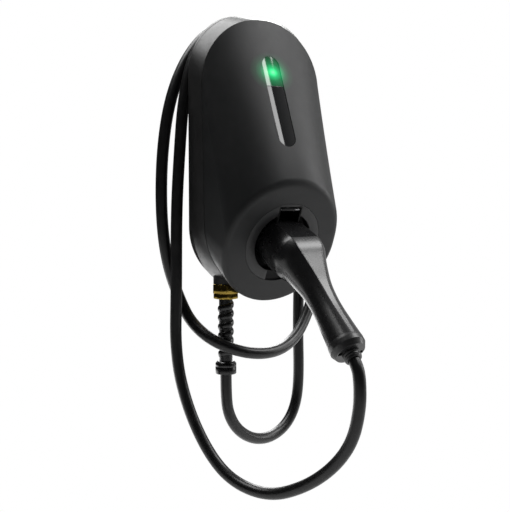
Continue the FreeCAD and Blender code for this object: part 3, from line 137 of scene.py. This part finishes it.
def material(name):
    made = bpy.data.materials.new(name)
    made.use_nodes = True
    made.node_tree.nodes.clear()
    out = made.node_tree.nodes.new("ShaderNodeOutputMaterial")
    shader = made.node_tree.nodes.new("ShaderNodeBsdfPrincipled")
    made.node_tree.links.new(shader.outputs["BSDF"], out.inputs["Surface"])
    return made, shader


def place(made, stretch=(1, 1, 1), centre=(0, 0, 0)):
    tree = made.node_tree
    where = tree.nodes.new("ShaderNodeTexCoord")
    mapping = tree.nodes.new("ShaderNodeMapping")
    mapping.inputs["Scale"].default_value = stretch
    mapping.inputs["Location"].default_value = centre
    tree.links.new(where.outputs["Object"], mapping.inputs["Vector"])
    return mapping.outputs["Vector"]


def noise(made, vector, scale, detail):
    tree = made.node_tree
    node = tree.nodes.new("ShaderNodeTexNoise")
    node.inputs["Scale"].default_value = scale
    node.inputs["Detail"].default_value = detail
    tree.links.new(vector, node.inputs["Vector"])
    return node.outputs["Fac"]


def ramp(made, value, stops):
    tree = made.node_tree
    node = tree.nodes.new("ShaderNodeValToRGB")
    while len(node.color_ramp.elements) < len(stops):
        node.color_ramp.elements.new(0.5)
    for element, (at, colour) in zip(node.color_ramp.elements, stops):
        element.position = at
        element.color = (*colour, 1) if hasattr(colour, "__len__") else (colour, colour, colour, 1)
    tree.links.new(value, node.inputs["Fac"])
    return node.outputs["Color"]


def bump(made, shader, height, strength, distance, rounding):
    tree = made.node_tree
    node = tree.nodes.new("ShaderNodeBump")
    node.inputs["Strength"].default_value = strength
    node.inputs["Distance"].default_value = distance
    tree.links.new(height, node.inputs["Height"])
    if rounding:  # lets the edges of a solid catch the light as moulded ones do
        edge = tree.nodes.new("ShaderNodeBevel")
        edge.samples = texture["edgeSamples"]
        edge.inputs["Radius"].default_value = rounding
        tree.links.new(edge.outputs["Normal"], node.inputs["Normal"])
    tree.links.new(node.outputs["Normal"], shader.inputs["Normal"])


def uneven(made, vector, scale, detail, low, high):
    start, end = texture["spread"]
    return ramp(made, noise(made, vector, scale, detail), [(start, low), (end, high)])


def mouldedPlastic(
    name, dark, light, rough, grain=1400, depth=0.00006, strength=0.35, shine=0.5, rounding=0.0007
):
    made, shader = material(name)
    links = made.node_tree.links
    vector = place(made)
    colour = uneven(made, vector, texture["plasticPatches"], 3, dark, light)
    links.new(colour, shader.inputs["Base Color"])
    links.new(uneven(made, vector, texture["plasticWear"], 4, *rough), shader.inputs["Roughness"])
    bump(made, shader, noise(made, vector, grain, 2), strength, depth, rounding)
    shader.inputs["Specular IOR Level"].default_value = shine
    return made


def turnedMetal(name, dark, light, rough, stretch=(1, 1, 12), grain=500):
    made, shader = material(name)
    links = made.node_tree.links
    shader.inputs["Metallic"].default_value = 1
    vector = place(made, stretch)
    colour = uneven(made, vector, texture["metalPatches"], 4, dark, light)
    links.new(colour, shader.inputs["Base Color"])
    links.new(uneven(made, vector, grain, 3, *rough), shader.inputs["Roughness"])
    height = noise(made, vector, grain, 2)
    bump(made, shader, height, texture["metalStrength"], texture["metalDepth"], texture["metalEdge"])
    return made


# the two colours and the two roughnesses that each noise runs between
finishes = {
    "cover": mouldedPlastic(
        "charcoalPlastic", (0.0085, 0.009, 0.0095), (0.0115, 0.012, 0.0125), (0.4, 0.47),
        shine=0.34, rounding=0,
    ),
    "housing": mouldedPlastic(
        "tubPlastic", (0.011, 0.011, 0.0112), (0.015, 0.015, 0.0152), (0.34, 0.42),
        shine=0.5, rounding=0.0004,
    ),
    "holster": mouldedPlastic(
        "holsterPlastic", (0.013, 0.013, 0.0135), (0.017, 0.017, 0.0175), (0.4, 0.48),
        shine=0.45, rounding=0.0005,
    ),
    "connector": mouldedPlastic(
        "connectorPlastic", (0.007, 0.007, 0.0075), (0.01, 0.01, 0.0105), (0.264, 0.276),
        grain=1600, depth=0.000001, strength=0.02, shine=0.5, rounding=0,
    ),
    "seal": mouldedPlastic("sealRubber", (0.006, 0.006, 0.0065), (0.009, 0.009, 0.0095), (0.6, 0.7)),
    "cable": mouldedPlastic(
        "cableJacket", (0.004, 0.004, 0.0043), (0.006, 0.006, 0.0063), (0.3, 0.38),
        grain=500, depth=0.00001, strength=0.1, shine=0.4, rounding=0,
    ),
    "sleeve": mouldedPlastic(
        "sleeveRubber", (0.003, 0.003, 0.0033), (0.005, 0.005, 0.0053), (0.22, 0.32),
        grain=500, depth=0.00002, strength=0.1, shine=0.5, rounding=0,
    ),
    "lens": mouldedPlastic(
        "smokedLens", (0.003, 0.0033, 0.0038), (0.004, 0.0043, 0.0048), (0.04, 0.06),
        grain=60, depth=0.00001, strength=0.03, shine=0.5, rounding=0.0006,
    ),
    "guide": mouldedPlastic("clearGuide", (0.7, 0.8, 0.75), (0.8, 0.9, 0.85), (0.2, 0.3)),
    "board": mouldedPlastic("circuitBoard", (0.01, 0.1, 0.04), (0.015, 0.14, 0.06), (0.3, 0.4)),
    "switch": mouldedPlastic("switchPlastic", (0.02, 0.02, 0.02), (0.03, 0.03, 0.03), (0.3, 0.4)),
    "relay": mouldedPlastic("relayPlastic", (0.03, 0.03, 0.035), (0.04, 0.04, 0.045), (0.3, 0.4)),
    "supply": mouldedPlastic("coreTape", (0.6, 0.42, 0.05), (0.7, 0.5, 0.08), (0.4, 0.5)),
    "terminal": mouldedPlastic("terminalPlastic", (0.5, 0.5, 0.48), (0.58, 0.58, 0.56), (0.45, 0.55)),
    # painted shade: both brass colours are darkened well below clean brass, so the gland reads dim
    "brass": turnedMetal("glandBrass", (0.16, 0.105, 0.02), (0.42, 0.3, 0.07), (0.06, 0.12)),
    "contact": turnedMetal("silveredContact", (0.6, 0.58, 0.5), (0.8, 0.78, 0.7), (0.2, 0.3)),
    "bracket": turnedMetal(
        "zincSheet", (0.45, 0.46, 0.48), (0.6, 0.61, 0.63), (0.35, 0.5), stretch=(1, 1, 1)
    ),
    "steel_screw": turnedMetal("zincScrew", (0.4, 0.4, 0.42), (0.55, 0.55, 0.57), (0.25, 0.4)),
    "black_screw": turnedMetal("blackScrew", (0.03, 0.03, 0.03), (0.06, 0.06, 0.06), (0.3, 0.45)),
    "spring": turnedMetal("springSteel", (0.5, 0.5, 0.52), (0.7, 0.7, 0.72), (0.2, 0.3)),
}
capPlastic = mouldedPlastic(
    "capPlastic", (0.01, 0.01, 0.0105), (0.014, 0.014, 0.0145), (0.32, 0.38),
    grain=1600, depth=0.00001, strength=0.1, shine=0.5, rounding=0.0005,
)
# painted shade: the holster's cup is far darker and duller than the holster plastic, so its deep recess
# reads black
cupPaintedShade = mouldedPlastic(
    "cupPaintedShadePlastic", (0.0015, 0.0015, 0.0016), (0.0025, 0.0025, 0.0026), (0.6, 0.7), shine=0.2
)
slotOf = {part["node"]: part["material_slot"] for part in frame["record"]["subparts"]}


def finish(piece, slotName):
    piece.data.materials.clear()
    piece.data.materials.append(finishes[slotName])


for name, node in nodes.items():
    finish(node, slotOf[name])
nodes["holster_cup"].data.materials[0] = cupPaintedShade
nodes["plug_end_cap"].data.materials[0] = capPlastic
nodes["plug_cable_nut"].data.materials[0] = capPlastic
finish(cablePiece, "cable")
print("materials made")


# pieces: each is made by mesh operators, rides its body and stands for the CAD nodes it covers
def addPiece(name, mesh, slotName, standsFor, sharp=35):
    data = bpy.data.meshes.new(name)
    bmesh.ops.recalc_face_normals(mesh, faces=mesh.faces)
    mesh.to_mesh(data)
    mesh.free()
    data.shade_smooth()
    data.set_sharp_from_angle(angle=math.radians(sharp))
    piece = bpy.data.objects.new(name, data)
    bpy.context.scene.collection.objects.link(piece)
    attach(piece, "base")
    if standsFor:
        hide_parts(*standsFor)
    finish(piece, slotName)
    return piece


def vertsOf(geometry):
    return [part for part in geometry if isinstance(part, bmesh.types.BMVert)]


def turned(mesh, profile, steps=72, rise=0.0, turns=1.0):
    points = [mesh.verts.new((radius, 0, height)) for radius, height in profile]
    edges = [mesh.edges.new(pair) for pair in zip(points, points[1:])]
    if rise:  # a rib that climbs as it goes round
        edges.append(mesh.edges.new((points[-1], points[0])))
    bmesh.ops.spin(
        mesh, geom=points + edges, axis=(0, 0, 1), cent=(0, 0, 0), dvec=(0, 0, rise / steps),
        angle=math.tau * turns, steps=int(steps * turns), use_merge=not rise,
    )


# tub and front: the moulded shells, with the full round foot and the soft edge round the tilted disc
shell = {
    "steps": 144,
    "wall": 0.003,
    "proud": 0.0003,  # the tub's skin lies this far outside the solid
    "rim": {"half": 0.0855, "top": 0.150, "bottom": 0.172, "corner": 0.070, "foot": 0.0853},
    "seam": {"half": 0.0798, "top": 0.144, "bottom": 0.1715, "corner": 0.078, "foot": 0.0796},
    "disc": {"half": 0.0748, "top": 0.0741, "bottom": 0.0785, "corner": 0.0735, "foot": 0.0742},
    "rimAt": ((0, -0.0298, 0), 0),  # middle, and how far its top leans back in degrees
    "seamAt": ((0, -0.0535, 0), 1.8),
    "discAt": ((0, -0.0954, -0.111), -23.2),
    "stripAt": ((0, -0.0872, 0.0494), 22.015),
    "backRing": 0.016,
    "seamGap": 0.0002,
    "rimEdge": 0.0012,
    "discEdge": 0.006,
    "shellBevel": {"limit_method": "ANGLE", "angle_limit": math.radians(40), "segments": 2},
    # edges of the crowned wall that run from the seam to the disc
    "longerThan": 0.012,
    "sidewaysBy": 0.02,
    "wallCuts": 6,
    "holsterHole": 0.0486,
    "ring": (0.0483, 0.0366),
    "ringWall": 0.0022,
    "hingeHalf": 0.01335,
    "hingeUp": (0.030, 0.04315),
    "ringGapHalf": 0.0122,
    "ringGapDown": (-0.06, -0.03),
    "ringEdge": 0.0004,
    "ringCutDeep": 0.02,
    "slotHalf": 0.01165,
    "slotLength": 0.1123,
    "slotSteps": 64,
    "slotBehind": 0.012,  # its cutter starts this far behind the strip's face
    "slotDeep": 0.03,
}


def leaning(where, lean, forward=0.0):
    turn = math.radians(lean)
    up, out = Vector((0, math.sin(turn), math.cos(turn))), Vector((0, -math.cos(turn), math.sin(turn)))
    matrix = Matrix((Vector((1, 0, 0)), up, out)).transposed().to_4x4()
    matrix.translation = Vector(where) + out * forward
    return matrix


def pill(half, reach):
    return {"half": half, "top": reach, "bottom": reach, "corner": half, "foot": half}


def outline(mesh, shape, matrix, inset=0.0, steps=shell["steps"]):
    loop = bmesh.ops.create_circle(mesh, segments=steps, radius=1)["verts"]
    bmesh.ops.rotate(mesh, verts=loop, cent=(0, 0, 0), matrix=Matrix.Rotation(math.pi / steps, 3, "Z"))
    for v in loop:
        corner = (shape["corner"] if v.co.y > 0 else shape["foot"]) - inset
        reach = (shape["top"] if v.co.y > 0 else shape["bottom"]) - inset
        v.co.x = v.co.x * corner + math.copysign(shape["half"] - inset - corner, v.co.x)
        v.co.y = v.co.y * corner + math.copysign(reach - corner, v.co.y)
    bmesh.ops.transform(mesh, matrix=matrix, verts=loop)
    inLoop = set(loop)
    return [e for e in mesh.edges if inLoop.issuperset(e.verts)]


def loose(name, mesh):
    bmesh.ops.recalc_face_normals(mesh, faces=mesh.faces)
    data = bpy.data.meshes.new(name)
    mesh.to_mesh(data)
    mesh.free()
    made = bpy.data.objects.new(name, data)
    bpy.context.scene.collection.objects.link(made)
    return made


def walled(name, mesh, wall, cutter=None, edge=0.0):
    skin = loose(name + "Skin", mesh)
    solid = skin.modifiers.new("wall", "SOLIDIFY")
    solid.thickness, solid.offset = wall, -1
    if cutter:
        cut = skin.modifiers.new("slot", "BOOLEAN")
        cut.operation, cut.solver, cut.object = "DIFFERENCE", "FAST", cutter
    if edge:
        soft = skin.modifiers.new("edge", "BEVEL")
        soft.width = edge
        for setting, value in shell["shellBevel"].items():
            setattr(soft, setting, value)
    depsgraph = bpy.context.evaluated_depsgraph_get()
    made = bmesh.new()
    made.from_mesh(bpy.data.meshes.new_from_object(skin.evaluated_get(depsgraph)))
    for old in [skin, cutter]:
        if old:
            bpy.data.objects.remove(old)
    return made


def addTub(s):
    mesh = bmesh.new()
    back = outline(mesh, s["rim"], leaning(*s["rimAt"]), s["backRing"])
    rim = outline(mesh, s["rim"], leaning(*s["rimAt"]), -s["proud"])
    seam = outline(mesh, s["seam"], leaning(*s["seamAt"], -s["seamGap"]), -s["proud"])
    bmesh.ops.bridge_loops(mesh, edges=back + rim)
    bmesh.ops.bridge_loops(mesh, edges=rim + seam)
    bmesh.ops.bevel(
        mesh, geom=rim, offset=s["rimEdge"], segments=4, profile=0.5, affect="EDGES", material=-1
    )
    addPiece("tubSkin", walled("tub", mesh, s["wall"]), "housing", None, sharp=40)


def addFront(s):
    mesh = bmesh.new()
    seam = outline(mesh, s["seam"], leaning(*s["seamAt"]))
    disc = outline(mesh, s["disc"], leaning(*s["discAt"]))
    hole = outline(mesh, pill(s["holsterHole"], s["holsterHole"]), leaning(*s["discAt"]))
    bmesh.ops.bridge_loops(mesh, edges=seam + disc)
    bmesh.ops.bridge_loops(mesh, edges=disc + hole)
    bmesh.ops.bevel(
        mesh, geom=disc, offset=s["discEdge"], segments=8, profile=0.5, affect="EDGES", material=-1
    )
    lengthwise = [
        e for e in mesh.edges
        if e.calc_length() > s["longerThan"] and not e.is_boundary
        and abs((e.verts[0].co - e.verts[1].co).x) < s["sidewaysBy"]
    ]
    bmesh.ops.subdivide_edges(mesh, edges=lengthwise, cuts=s["wallCuts"], use_grid_fill=True)
    slot = bmesh.new()
    slotShape = pill(s["slotHalf"], s["slotLength"] / 2)
    outline(slot, slotShape, leaning(*s["stripAt"], -s["slotBehind"]), steps=s["slotSteps"])
    face = bmesh.ops.contextual_create(slot, geom=slot.edges[:])["faces"]
    raised = bmesh.ops.extrude_face_region(slot, geom=face)["geom"]
    out = leaning(*s["stripAt"]).to_3x3() @ Vector((0, 0, s["slotDeep"]))
    bmesh.ops.translate(slot, verts=vertsOf(raised), vec=out)
    cover = walled("front", mesh, s["wall"], loose("slotCutter", slot))
    addPiece("frontShell", cover, "cover", ["front_cover"], sharp=40)


def box(mesh, half, low, high, deep, matrix):
    cube = bmesh.ops.create_cube(mesh, size=1)["verts"]
    bmesh.ops.scale(mesh, verts=cube, vec=(2 * half, high - low, deep))
    bmesh.ops.translate(mesh, verts=cube, vec=(0, (low + high) / 2, 0))
    bmesh.ops.transform(mesh, matrix=matrix, verts=cube)


def addRing(s):
    mesh = bmesh.new()
    matrix = leaning(*s["discAt"])
    edges = []
    for radius in s["ring"]:
        edges += outline(mesh, pill(radius, radius), matrix)
    bmesh.ops.bridge_loops(mesh, edges=edges)
    gaps = bmesh.new()
    box(gaps, s["ringGapHalf"], *s["ringGapDown"], s["ringCutDeep"], matrix)
    box(gaps, s["hingeHalf"], *s["hingeUp"], s["ringCutDeep"], matrix)
    ring = walled("ring", mesh, s["ringWall"], loose("ringCutter", gaps), s["ringEdge"])
    addPiece("holsterRing", ring, "holster", ["holster_ring"])


addTub(shell)
addFront(shell)
addRing(shell)
print("tub and front made")

# gland: a tall hexagon against the tub, a thin groove, then the clamping nut with its chamfer
gland = {
    "axis": (-0.0427, -0.04),
    "turn": 30,  # so that a flat faces the front
    "hexagons": [
        # across corners, foot, top, edge rounding
        (0.0339, -0.1708, -0.1600, 0.0005),
        (0.0325, -0.177, -0.1712, 0.0009),
    ],
    "neck": [
        (0.0075, -0.178), (0.0098, -0.178), (0.0102, -0.1772), (0.0142, -0.1772), (0.0142, -0.1705),
        (0.0075, -0.1705),
    ],
}


def addGland(g):
    mesh = bmesh.new()
    for width, foot, top, rounding in g["hexagons"]:
        plate = bmesh.ops.create_circle(mesh, cap_ends=True, segments=6, radius=width / 2)["verts"]
        turn = Matrix.Rotation(math.radians(g["turn"]), 3, "Z")
        bmesh.ops.rotate(mesh, verts=plate, cent=(0, 0, 0), matrix=turn)
        bmesh.ops.translate(mesh, verts=plate, vec=(0, 0, foot))
        face = plate[0].link_faces[0]
        raised = bmesh.ops.extrude_face_region(mesh, geom=[face])["geom"]
        bmesh.ops.translate(mesh, verts=vertsOf(raised), vec=(0, 0, top - foot))
        corners = set(vertsOf(raised)) | set(plate)
        edges = [e for e in mesh.edges if set(e.verts) <= corners]
        bmesh.ops.bevel(
            mesh, geom=edges, offset=rounding, segments=3, profile=0.5, affect="EDGES", material=-1
        )
    turned(mesh, g["neck"])
    bmesh.ops.translate(mesh, verts=mesh.verts, vec=(*g["axis"], 0))
    addPiece("glandBrass", mesh, "brass", ["gland_body", "gland_nut"])


addGland(gland)

# strain relief: a tube that tapers a little, one thick round rib wound round it, and the end collar
relief = {
    "axis": (-0.0427, -0.04),
    "top": -0.1768,
    "foot": -0.2512,
    "bore": 0.0069,
    "radius": 0.0079,
    "ribRoot": 0.0005,  # below the tube's face
    "ribDepth": 0.0021,  # from its root
    "ribFullness": 0.7,  # 1 is a half round, less is fuller
    "ribWidth": 0.0078,
    "ribSides": 10,
    "ribSteps": 36,
    "pitch": 0.0106,
    "turns": 6.25,
    "taper": 0.04,
    "keepsBore": 0.0005,
    "collar": [
        (0.0069, -0.2509), (0.0092, -0.2509), (0.0098, -0.2512), (0.0119, -0.2533), (0.0123, -0.2541),
        (0.0123, -0.2571), (0.0121, -0.2574), (0.0123, -0.2577), (0.0123, -0.265), (0.0121, -0.2656),
        (0.0115, -0.266), (0.0069, -0.266),
    ],
}


def addRelief(r):
    mesh = bmesh.new()
    bore, radius, top, foot = r["bore"], r["radius"], r["top"], r["foot"]
    turned(mesh, [(bore, top), (radius, top), (radius, foot), (bore, foot)])
    arc = [math.pi * step / r["ribSides"] for step in range(r["ribSides"] + 1)]
    half, root = r["ribWidth"] / 2, radius - r["ribRoot"]
    rib = [
        (root + math.sin(a) ** r["ribFullness"] * r["ribDepth"], foot + half - math.cos(a) * half)
        for a in arc
    ]
    turned(mesh, rib, r["ribSteps"], r["pitch"], r["turns"])
    bmesh.ops.holes_fill(mesh, edges=[e for e in mesh.edges if e.is_boundary])
    for v in mesh.verts:  # slimmer towards the cable
        share = 1 - r["taper"] * (top - v.co.z) / (top - foot)
        if math.hypot(v.co.x, v.co.y) > bore + r["keepsBore"]:
            v.co.x, v.co.y = v.co.x * share, v.co.y * share
    bmesh.ops.translate(mesh, verts=mesh.verts, vec=(*r["axis"], 0))
    addPiece("ribbedRelief", mesh, "sleeve", ["strain_relief_sleeve"], sharp=50)
    mesh = bmesh.new()
    turned(mesh, r["collar"])
    bmesh.ops.translate(mesh, verts=mesh.verts, vec=(*r["axis"], 0))
    addPiece("reliefCollar", mesh, "sleeve", ["sleeve_collar"])


addRelief(relief)
print("gland and strain relief made")

# connector body: a round head with a flat top, which bends into the handle; the flat narrows
# towards the grip, and a keel runs along below
plug = {
    "steps": 88,
    "flatSteps": 12,
    "between": 5,
    "bend": 21.8,
    "headEnd": 0.036,
    # along the head or beyond its end, how far into the bend, radius, height of the flat
    "head": [(-0.008, 0, 0.031, 0.0254), (0.014, 0, 0.031, 0.0254), (0.0275, 0, 0.031, 0.0254)],
    "handle": [
        (0, 0, 0.031, 0.0254), (0.0065, 0.7, 0.0293, 0.0243), (0.014, 1, 0.026, 0.0222),
        (0.030, 1, 0.0214, 0.0194), (0.050, 1, 0.0172, 0.0165), (0.074, 1, 0.016, 0.01565),
        (0.100, 1, 0.0177, 0.0175), (0.118, 1, 0.0194, 0.0193),
    ],
    "crisp": 0.0005,
    "keelHalf": 0.006,
    "keelDrop": (-0.0334, -0.0318),  # under the head and where it runs into the handle
    "keelTop": -0.012,
    "keelAlong": (-0.006, 0.074),
    "keelEdge": 0.0016,
}


# rows between the keys, on a smooth curve through all of them
def smoothly(keys, between):
    rows = []
    ends = [keys[0]] + keys + [keys[-1]]
    for a, b, c, d in zip(ends, ends[1:], ends[2:], ends[3:]):
        for step in range(between):
            t = step / between
            rows.append([
                0.5 * (
                    2 * q + (r - p) * t + (2 * p - 5 * q + 4 * r - s) * t * t
                    + (3 * q - p - 3 * r + s) * t ** 3
                )
                for p, q, r, s in zip(a, b, c, d)
            ])
    return rows + [list(keys[-1])]


def addPlug(p, discAt):
    where, lean = discAt
    frameOf = leaning(where, lean)
    bend = math.radians(p["bend"])
    keys = [
        (p["headEnd"] + along * math.cos(bend), -along * math.sin(bend), share, radius, flat)
        for along, share, radius, flat in p["handle"]
    ]
    rows = [(out, 0.0, share, radius, flat) for out, share, radius, flat in p["head"]]
    rows += smoothly(keys, p["between"])
    mesh = bmesh.new()
    flatSteps, roundSteps = p["flatSteps"], p["steps"] - p["flatSteps"]
    loops, lines = [], [[], [], []]
    for out, up, share, radius, flat in rows:
        loop = bmesh.ops.create_circle(mesh, segments=p["steps"], radius=1)["verts"]
        corner = math.acos(min(flat / radius, 0.999))
        for number, v in enumerate(loop):
            if number <= flatSteps:
                across = math.sin(corner) * (2 * number / flatSteps - 1)
                v.co = (radius * across, radius * math.cos(corner), 0)
            else:
                turn = corner + (number - flatSteps) / roundSteps * (math.tau - 2 * corner)
                v.co = (radius * math.sin(turn), radius * math.cos(turn), 0)
        middle = frameOf @ Vector((0, up, out))
        bmesh.ops.transform(mesh, matrix=leaning(middle, lean - p["bend"] * share), verts=loop)
        lines[0].append(loop[0])
        lines[1].append(loop[flatSteps])
        if len(loops) == len(p["head"]):  # the crease where the handle starts
            lines[2] = loop[:flatSteps + 1]
        inLoop = set(loop)
        loops.append([e for e in mesh.edges if inLoop.issuperset(e.verts)])
    for near, far in zip(loops, loops[1:]):
        bmesh.ops.bridge_loops(mesh, edges=near + far)
    bmesh.ops.holes_fill(mesh, edges=loops[0] + loops[-1])
    crisp = [e for e in mesh.edges if any(set(line).issuperset(e.verts) for line in lines)]
    bmesh.ops.bevel(
        mesh, geom=crisp, offset=p["crisp"], segments=2, profile=0.5, affect="EDGES", material=-1
    )
    keel = bmesh.ops.create_cube(mesh, size=1)["verts"]
    for v in keel:
        far = v.co.z > 0
        height = p["keelDrop"][far] if v.co.y < 0 else p["keelTop"]
        v.co = (v.co.x * 2 * p["keelHalf"], height, p["keelAlong"][far])
    bmesh.ops.transform(mesh, matrix=frameOf, verts=keel)
    inKeel = set(keel)
    edges = [e for e in mesh.edges if inKeel.issuperset(e.verts)]
    bmesh.ops.bevel(
        mesh, geom=edges, offset=p["keelEdge"], segments=3, profile=0.5, affect="EDGES", material=-1
    )
    return addPiece("plugBody", mesh, "connector", ["plug_shell"], sharp=50)


plugPiece = addPlug(plug, shell["discAt"])
print("connector made")

# light behind the strip: a round spot on the push button, and round it a painted glow, emission in the
# cover's own material
light = {
    "spot": (0.0005, -0.0738, 0.0826),
    "stretch": (1, 1, 1.2),  # the glow is wider than it is high
    "reach": 0.03,
    "strength": 1.0,
    "onButton": [
        (0.0, (0.25, 1, 0.5)), (0.13, (0.04, 1, 0.32)), (0.24, (0.01, 0.55, 0.17)),
        (0.42, (0, 0.2, 0.06)), (0.7, (0, 0.07, 0.02)), (1.0, (0, 0.02, 0.005)),
    ],
    # painted glow: green light spilling onto the cover, painted as the cover's own emission
    "paintedGlowOnCover": [
        (0.0, (0, 0.6, 0.2)), (0.4, (0, 0.34, 0.11)), (0.55, (0, 0.12, 0.04)), (0.75, (0, 0.03, 0.01)),
        (1.0, (0, 0, 0)),
    ],
}


# emission fading out from the spot: the button's own light, and on the cover a painted glow
def glow(made, s, stops):
    tree = made.node_tree
    shader = tree.nodes["Principled BSDF"]
    offset = place(made, s["stretch"], [-value * share for value, share in zip(s["spot"], s["stretch"])])
    distance = tree.nodes.new("ShaderNodeVectorMath")
    distance.operation = "LENGTH"
    tree.links.new(offset, distance.inputs[0])
    share = tree.nodes.new("ShaderNodeMapRange")
    share.inputs["From Max"].default_value = s["reach"]
    tree.links.new(distance.outputs["Value"], share.inputs["Value"])
    tree.links.new(ramp(made, share.outputs["Result"], stops), shader.inputs["Emission Color"])
    shader.inputs["Emission Strength"].default_value = s["strength"]


litButton = mouldedPlastic(
    "litButton", (0.003, 0.0033, 0.0038), (0.004, 0.0043, 0.0048), (0.06, 0.09),
    grain=60, depth=0.00001, strength=0.05, shine=0.7, rounding=0.0006,
)
glow(litButton, light, light["onButton"])
nodes["status_button"].data.materials[0] = litButton
# painted glow: the cover plastic itself emits green round the button
glow(finishes["cover"], light, light["paintedGlowOnCover"])
print("strip lit")

# studio: a white floor and backdrop, bright to the right, above and behind, and dark to the left
studio = {
    "floorHeight": -0.62,
    "floorSize": 3.6,
    "floorColour": (0.85, 0.85, 0.85, 1),
    "floorRough": 0.9,
    "floorInGloss": 0.45,  # how bright the floor looks in reflections
    "brightSide": (0.75, 0.3, 0.5),
    "fade": (0.1, 0.95),
    "darkLevel": 0.02,
    "brightLevel": 0.5,
    "aim": (0, -0.06, -0.05),
    "lamps": [
        # name, place, size, power
        ("overheadBox", (1.74, -0.8, 2.25), (1.3, 0.74), 32),
        ("topBackBox", (0.5, 0.9, 0.7), (0.7, 0.5), 1.5),
        ("topBox", (-0.25, 0.32, 1.05), (1.2, 0.8), 22),
        ("backBox", (0.7, 1.2, 0.5), (0.6, 0.9), 12),
        ("rightBox", (1.25, -0.5, 0.3), (0.35, 1.2), 7),
        ("lowBackBox", (-0.15, 0.65, -0.58), (1.2, 0.5), 3),
        ("stripBox", (0.47, -0.9, 0.9), (0.16, 0.5), 2.2),
    ],
}


def calculate(tree, operation, first, second):
    node = tree.nodes.new("ShaderNodeMath")
    node.operation = operation
    tree.links.new(first, node.inputs[0])
    if isinstance(second, float):
        node.inputs[1].default_value = second
    else:
        tree.links.new(second, node.inputs[1])
    return node.outputs["Value"]


# paper white to the camera, dimmer in reflections, and a plain pale floor for the light itself
def addFloor(s):
    mesh = bmesh.new()
    bmesh.ops.create_grid(mesh, x_segments=1, y_segments=1, size=s["floorSize"] / 2)
    bmesh.ops.translate(mesh, verts=mesh.verts, vec=(0, 0, s["floorHeight"]))
    data = bpy.data.meshes.new("studioFloor")
    mesh.to_mesh(data)
    mesh.free()
    floor = bpy.data.objects.new("studioFloor", data)
    bpy.context.scene.collection.objects.link(floor)
    made, shader = material("floorPaper")
    made.cycles.emission_sampling = "NONE"  # it lights nothing, so no light rays are spent on it
    shader.inputs["Base Color"].default_value = s["floorColour"]
    shader.inputs["Roughness"].default_value = s["floorRough"]
    tree = made.node_tree
    path = tree.nodes.new("ShaderNodeLightPath")
    white = tree.nodes.new("ShaderNodeEmission")
    white.inputs["Strength"].default_value = 1
    mix = tree.nodes.new("ShaderNodeMixShader")
    inGloss = calculate(tree, "MULTIPLY", path.outputs["Is Glossy Ray"], s["floorInGloss"])
    seen = calculate(tree, "MAXIMUM", path.outputs["Is Camera Ray"], inGloss)
    tree.links.new(seen, mix.inputs["Fac"])
    tree.links.new(shader.outputs["BSDF"], mix.inputs[1])
    tree.links.new(white.outputs["Emission"], mix.inputs[2])
    tree.links.new(mix.outputs["Shader"], tree.nodes["Material Output"].inputs["Surface"])
    data.materials.append(made)


# white to the camera and through glass, and elsewhere a soft slope from the dark to the bright side
def addSurround(s):
    world = bpy.data.worlds.new("surround")
    world.use_nodes = True
    bpy.context.scene.world = world
    tree = world.node_tree
    back = tree.nodes["Background"]
    path = tree.nodes.new("ShaderNodeLightPath")
    direction = tree.nodes.new("ShaderNodeTexCoord")
    side = tree.nodes.new("ShaderNodeVectorMath")
    side.operation = "DOT_PRODUCT"
    side.inputs[1].default_value = Vector(s["brightSide"]).normalized()
    tree.links.new(direction.outputs["Generated"], side.inputs[0])
    level = tree.nodes.new("ShaderNodeMapRange")
    level.interpolation_type = "SMOOTHSTEP"
    level.inputs["From Min"].default_value, level.inputs["From Max"].default_value = s["fade"]
    level.inputs["To Min"].default_value = s["darkLevel"]
    level.inputs["To Max"].default_value = s["brightLevel"]
    tree.links.new(side.outputs["Value"], level.inputs["Value"])
    seen = calculate(tree, "MAXIMUM", path.outputs["Is Camera Ray"], path.outputs["Is Transmission Ray"])
    strength = calculate(tree, "MAXIMUM", seen, level.outputs["Result"])
    back.inputs["Color"].default_value = (1, 1, 1, 1)
    tree.links.new(strength, back.inputs["Strength"])


def addLamps(s):
    for name, where, size, power in s["lamps"]:
        data = bpy.data.lights.new(name, "AREA")
        data.shape = "RECTANGLE"
        data.size, data.size_y = size
        data.energy = power
        lamp = bpy.data.objects.new(name, data)
        bpy.context.scene.collection.objects.link(lamp)
        lamp.location = where
        lamp.visible_camera = False
        aim = Vector(s["aim"]) - Vector(where)
        lamp.rotation_mode = "QUATERNION"
        lamp.rotation_quaternion = aim.to_track_quat("-Z", "Y")


addFloor(studio)
addSurround(studio)
addLamps(studio)
bpy.context.scene.view_settings.view_transform = "Standard"
print("studio lit")
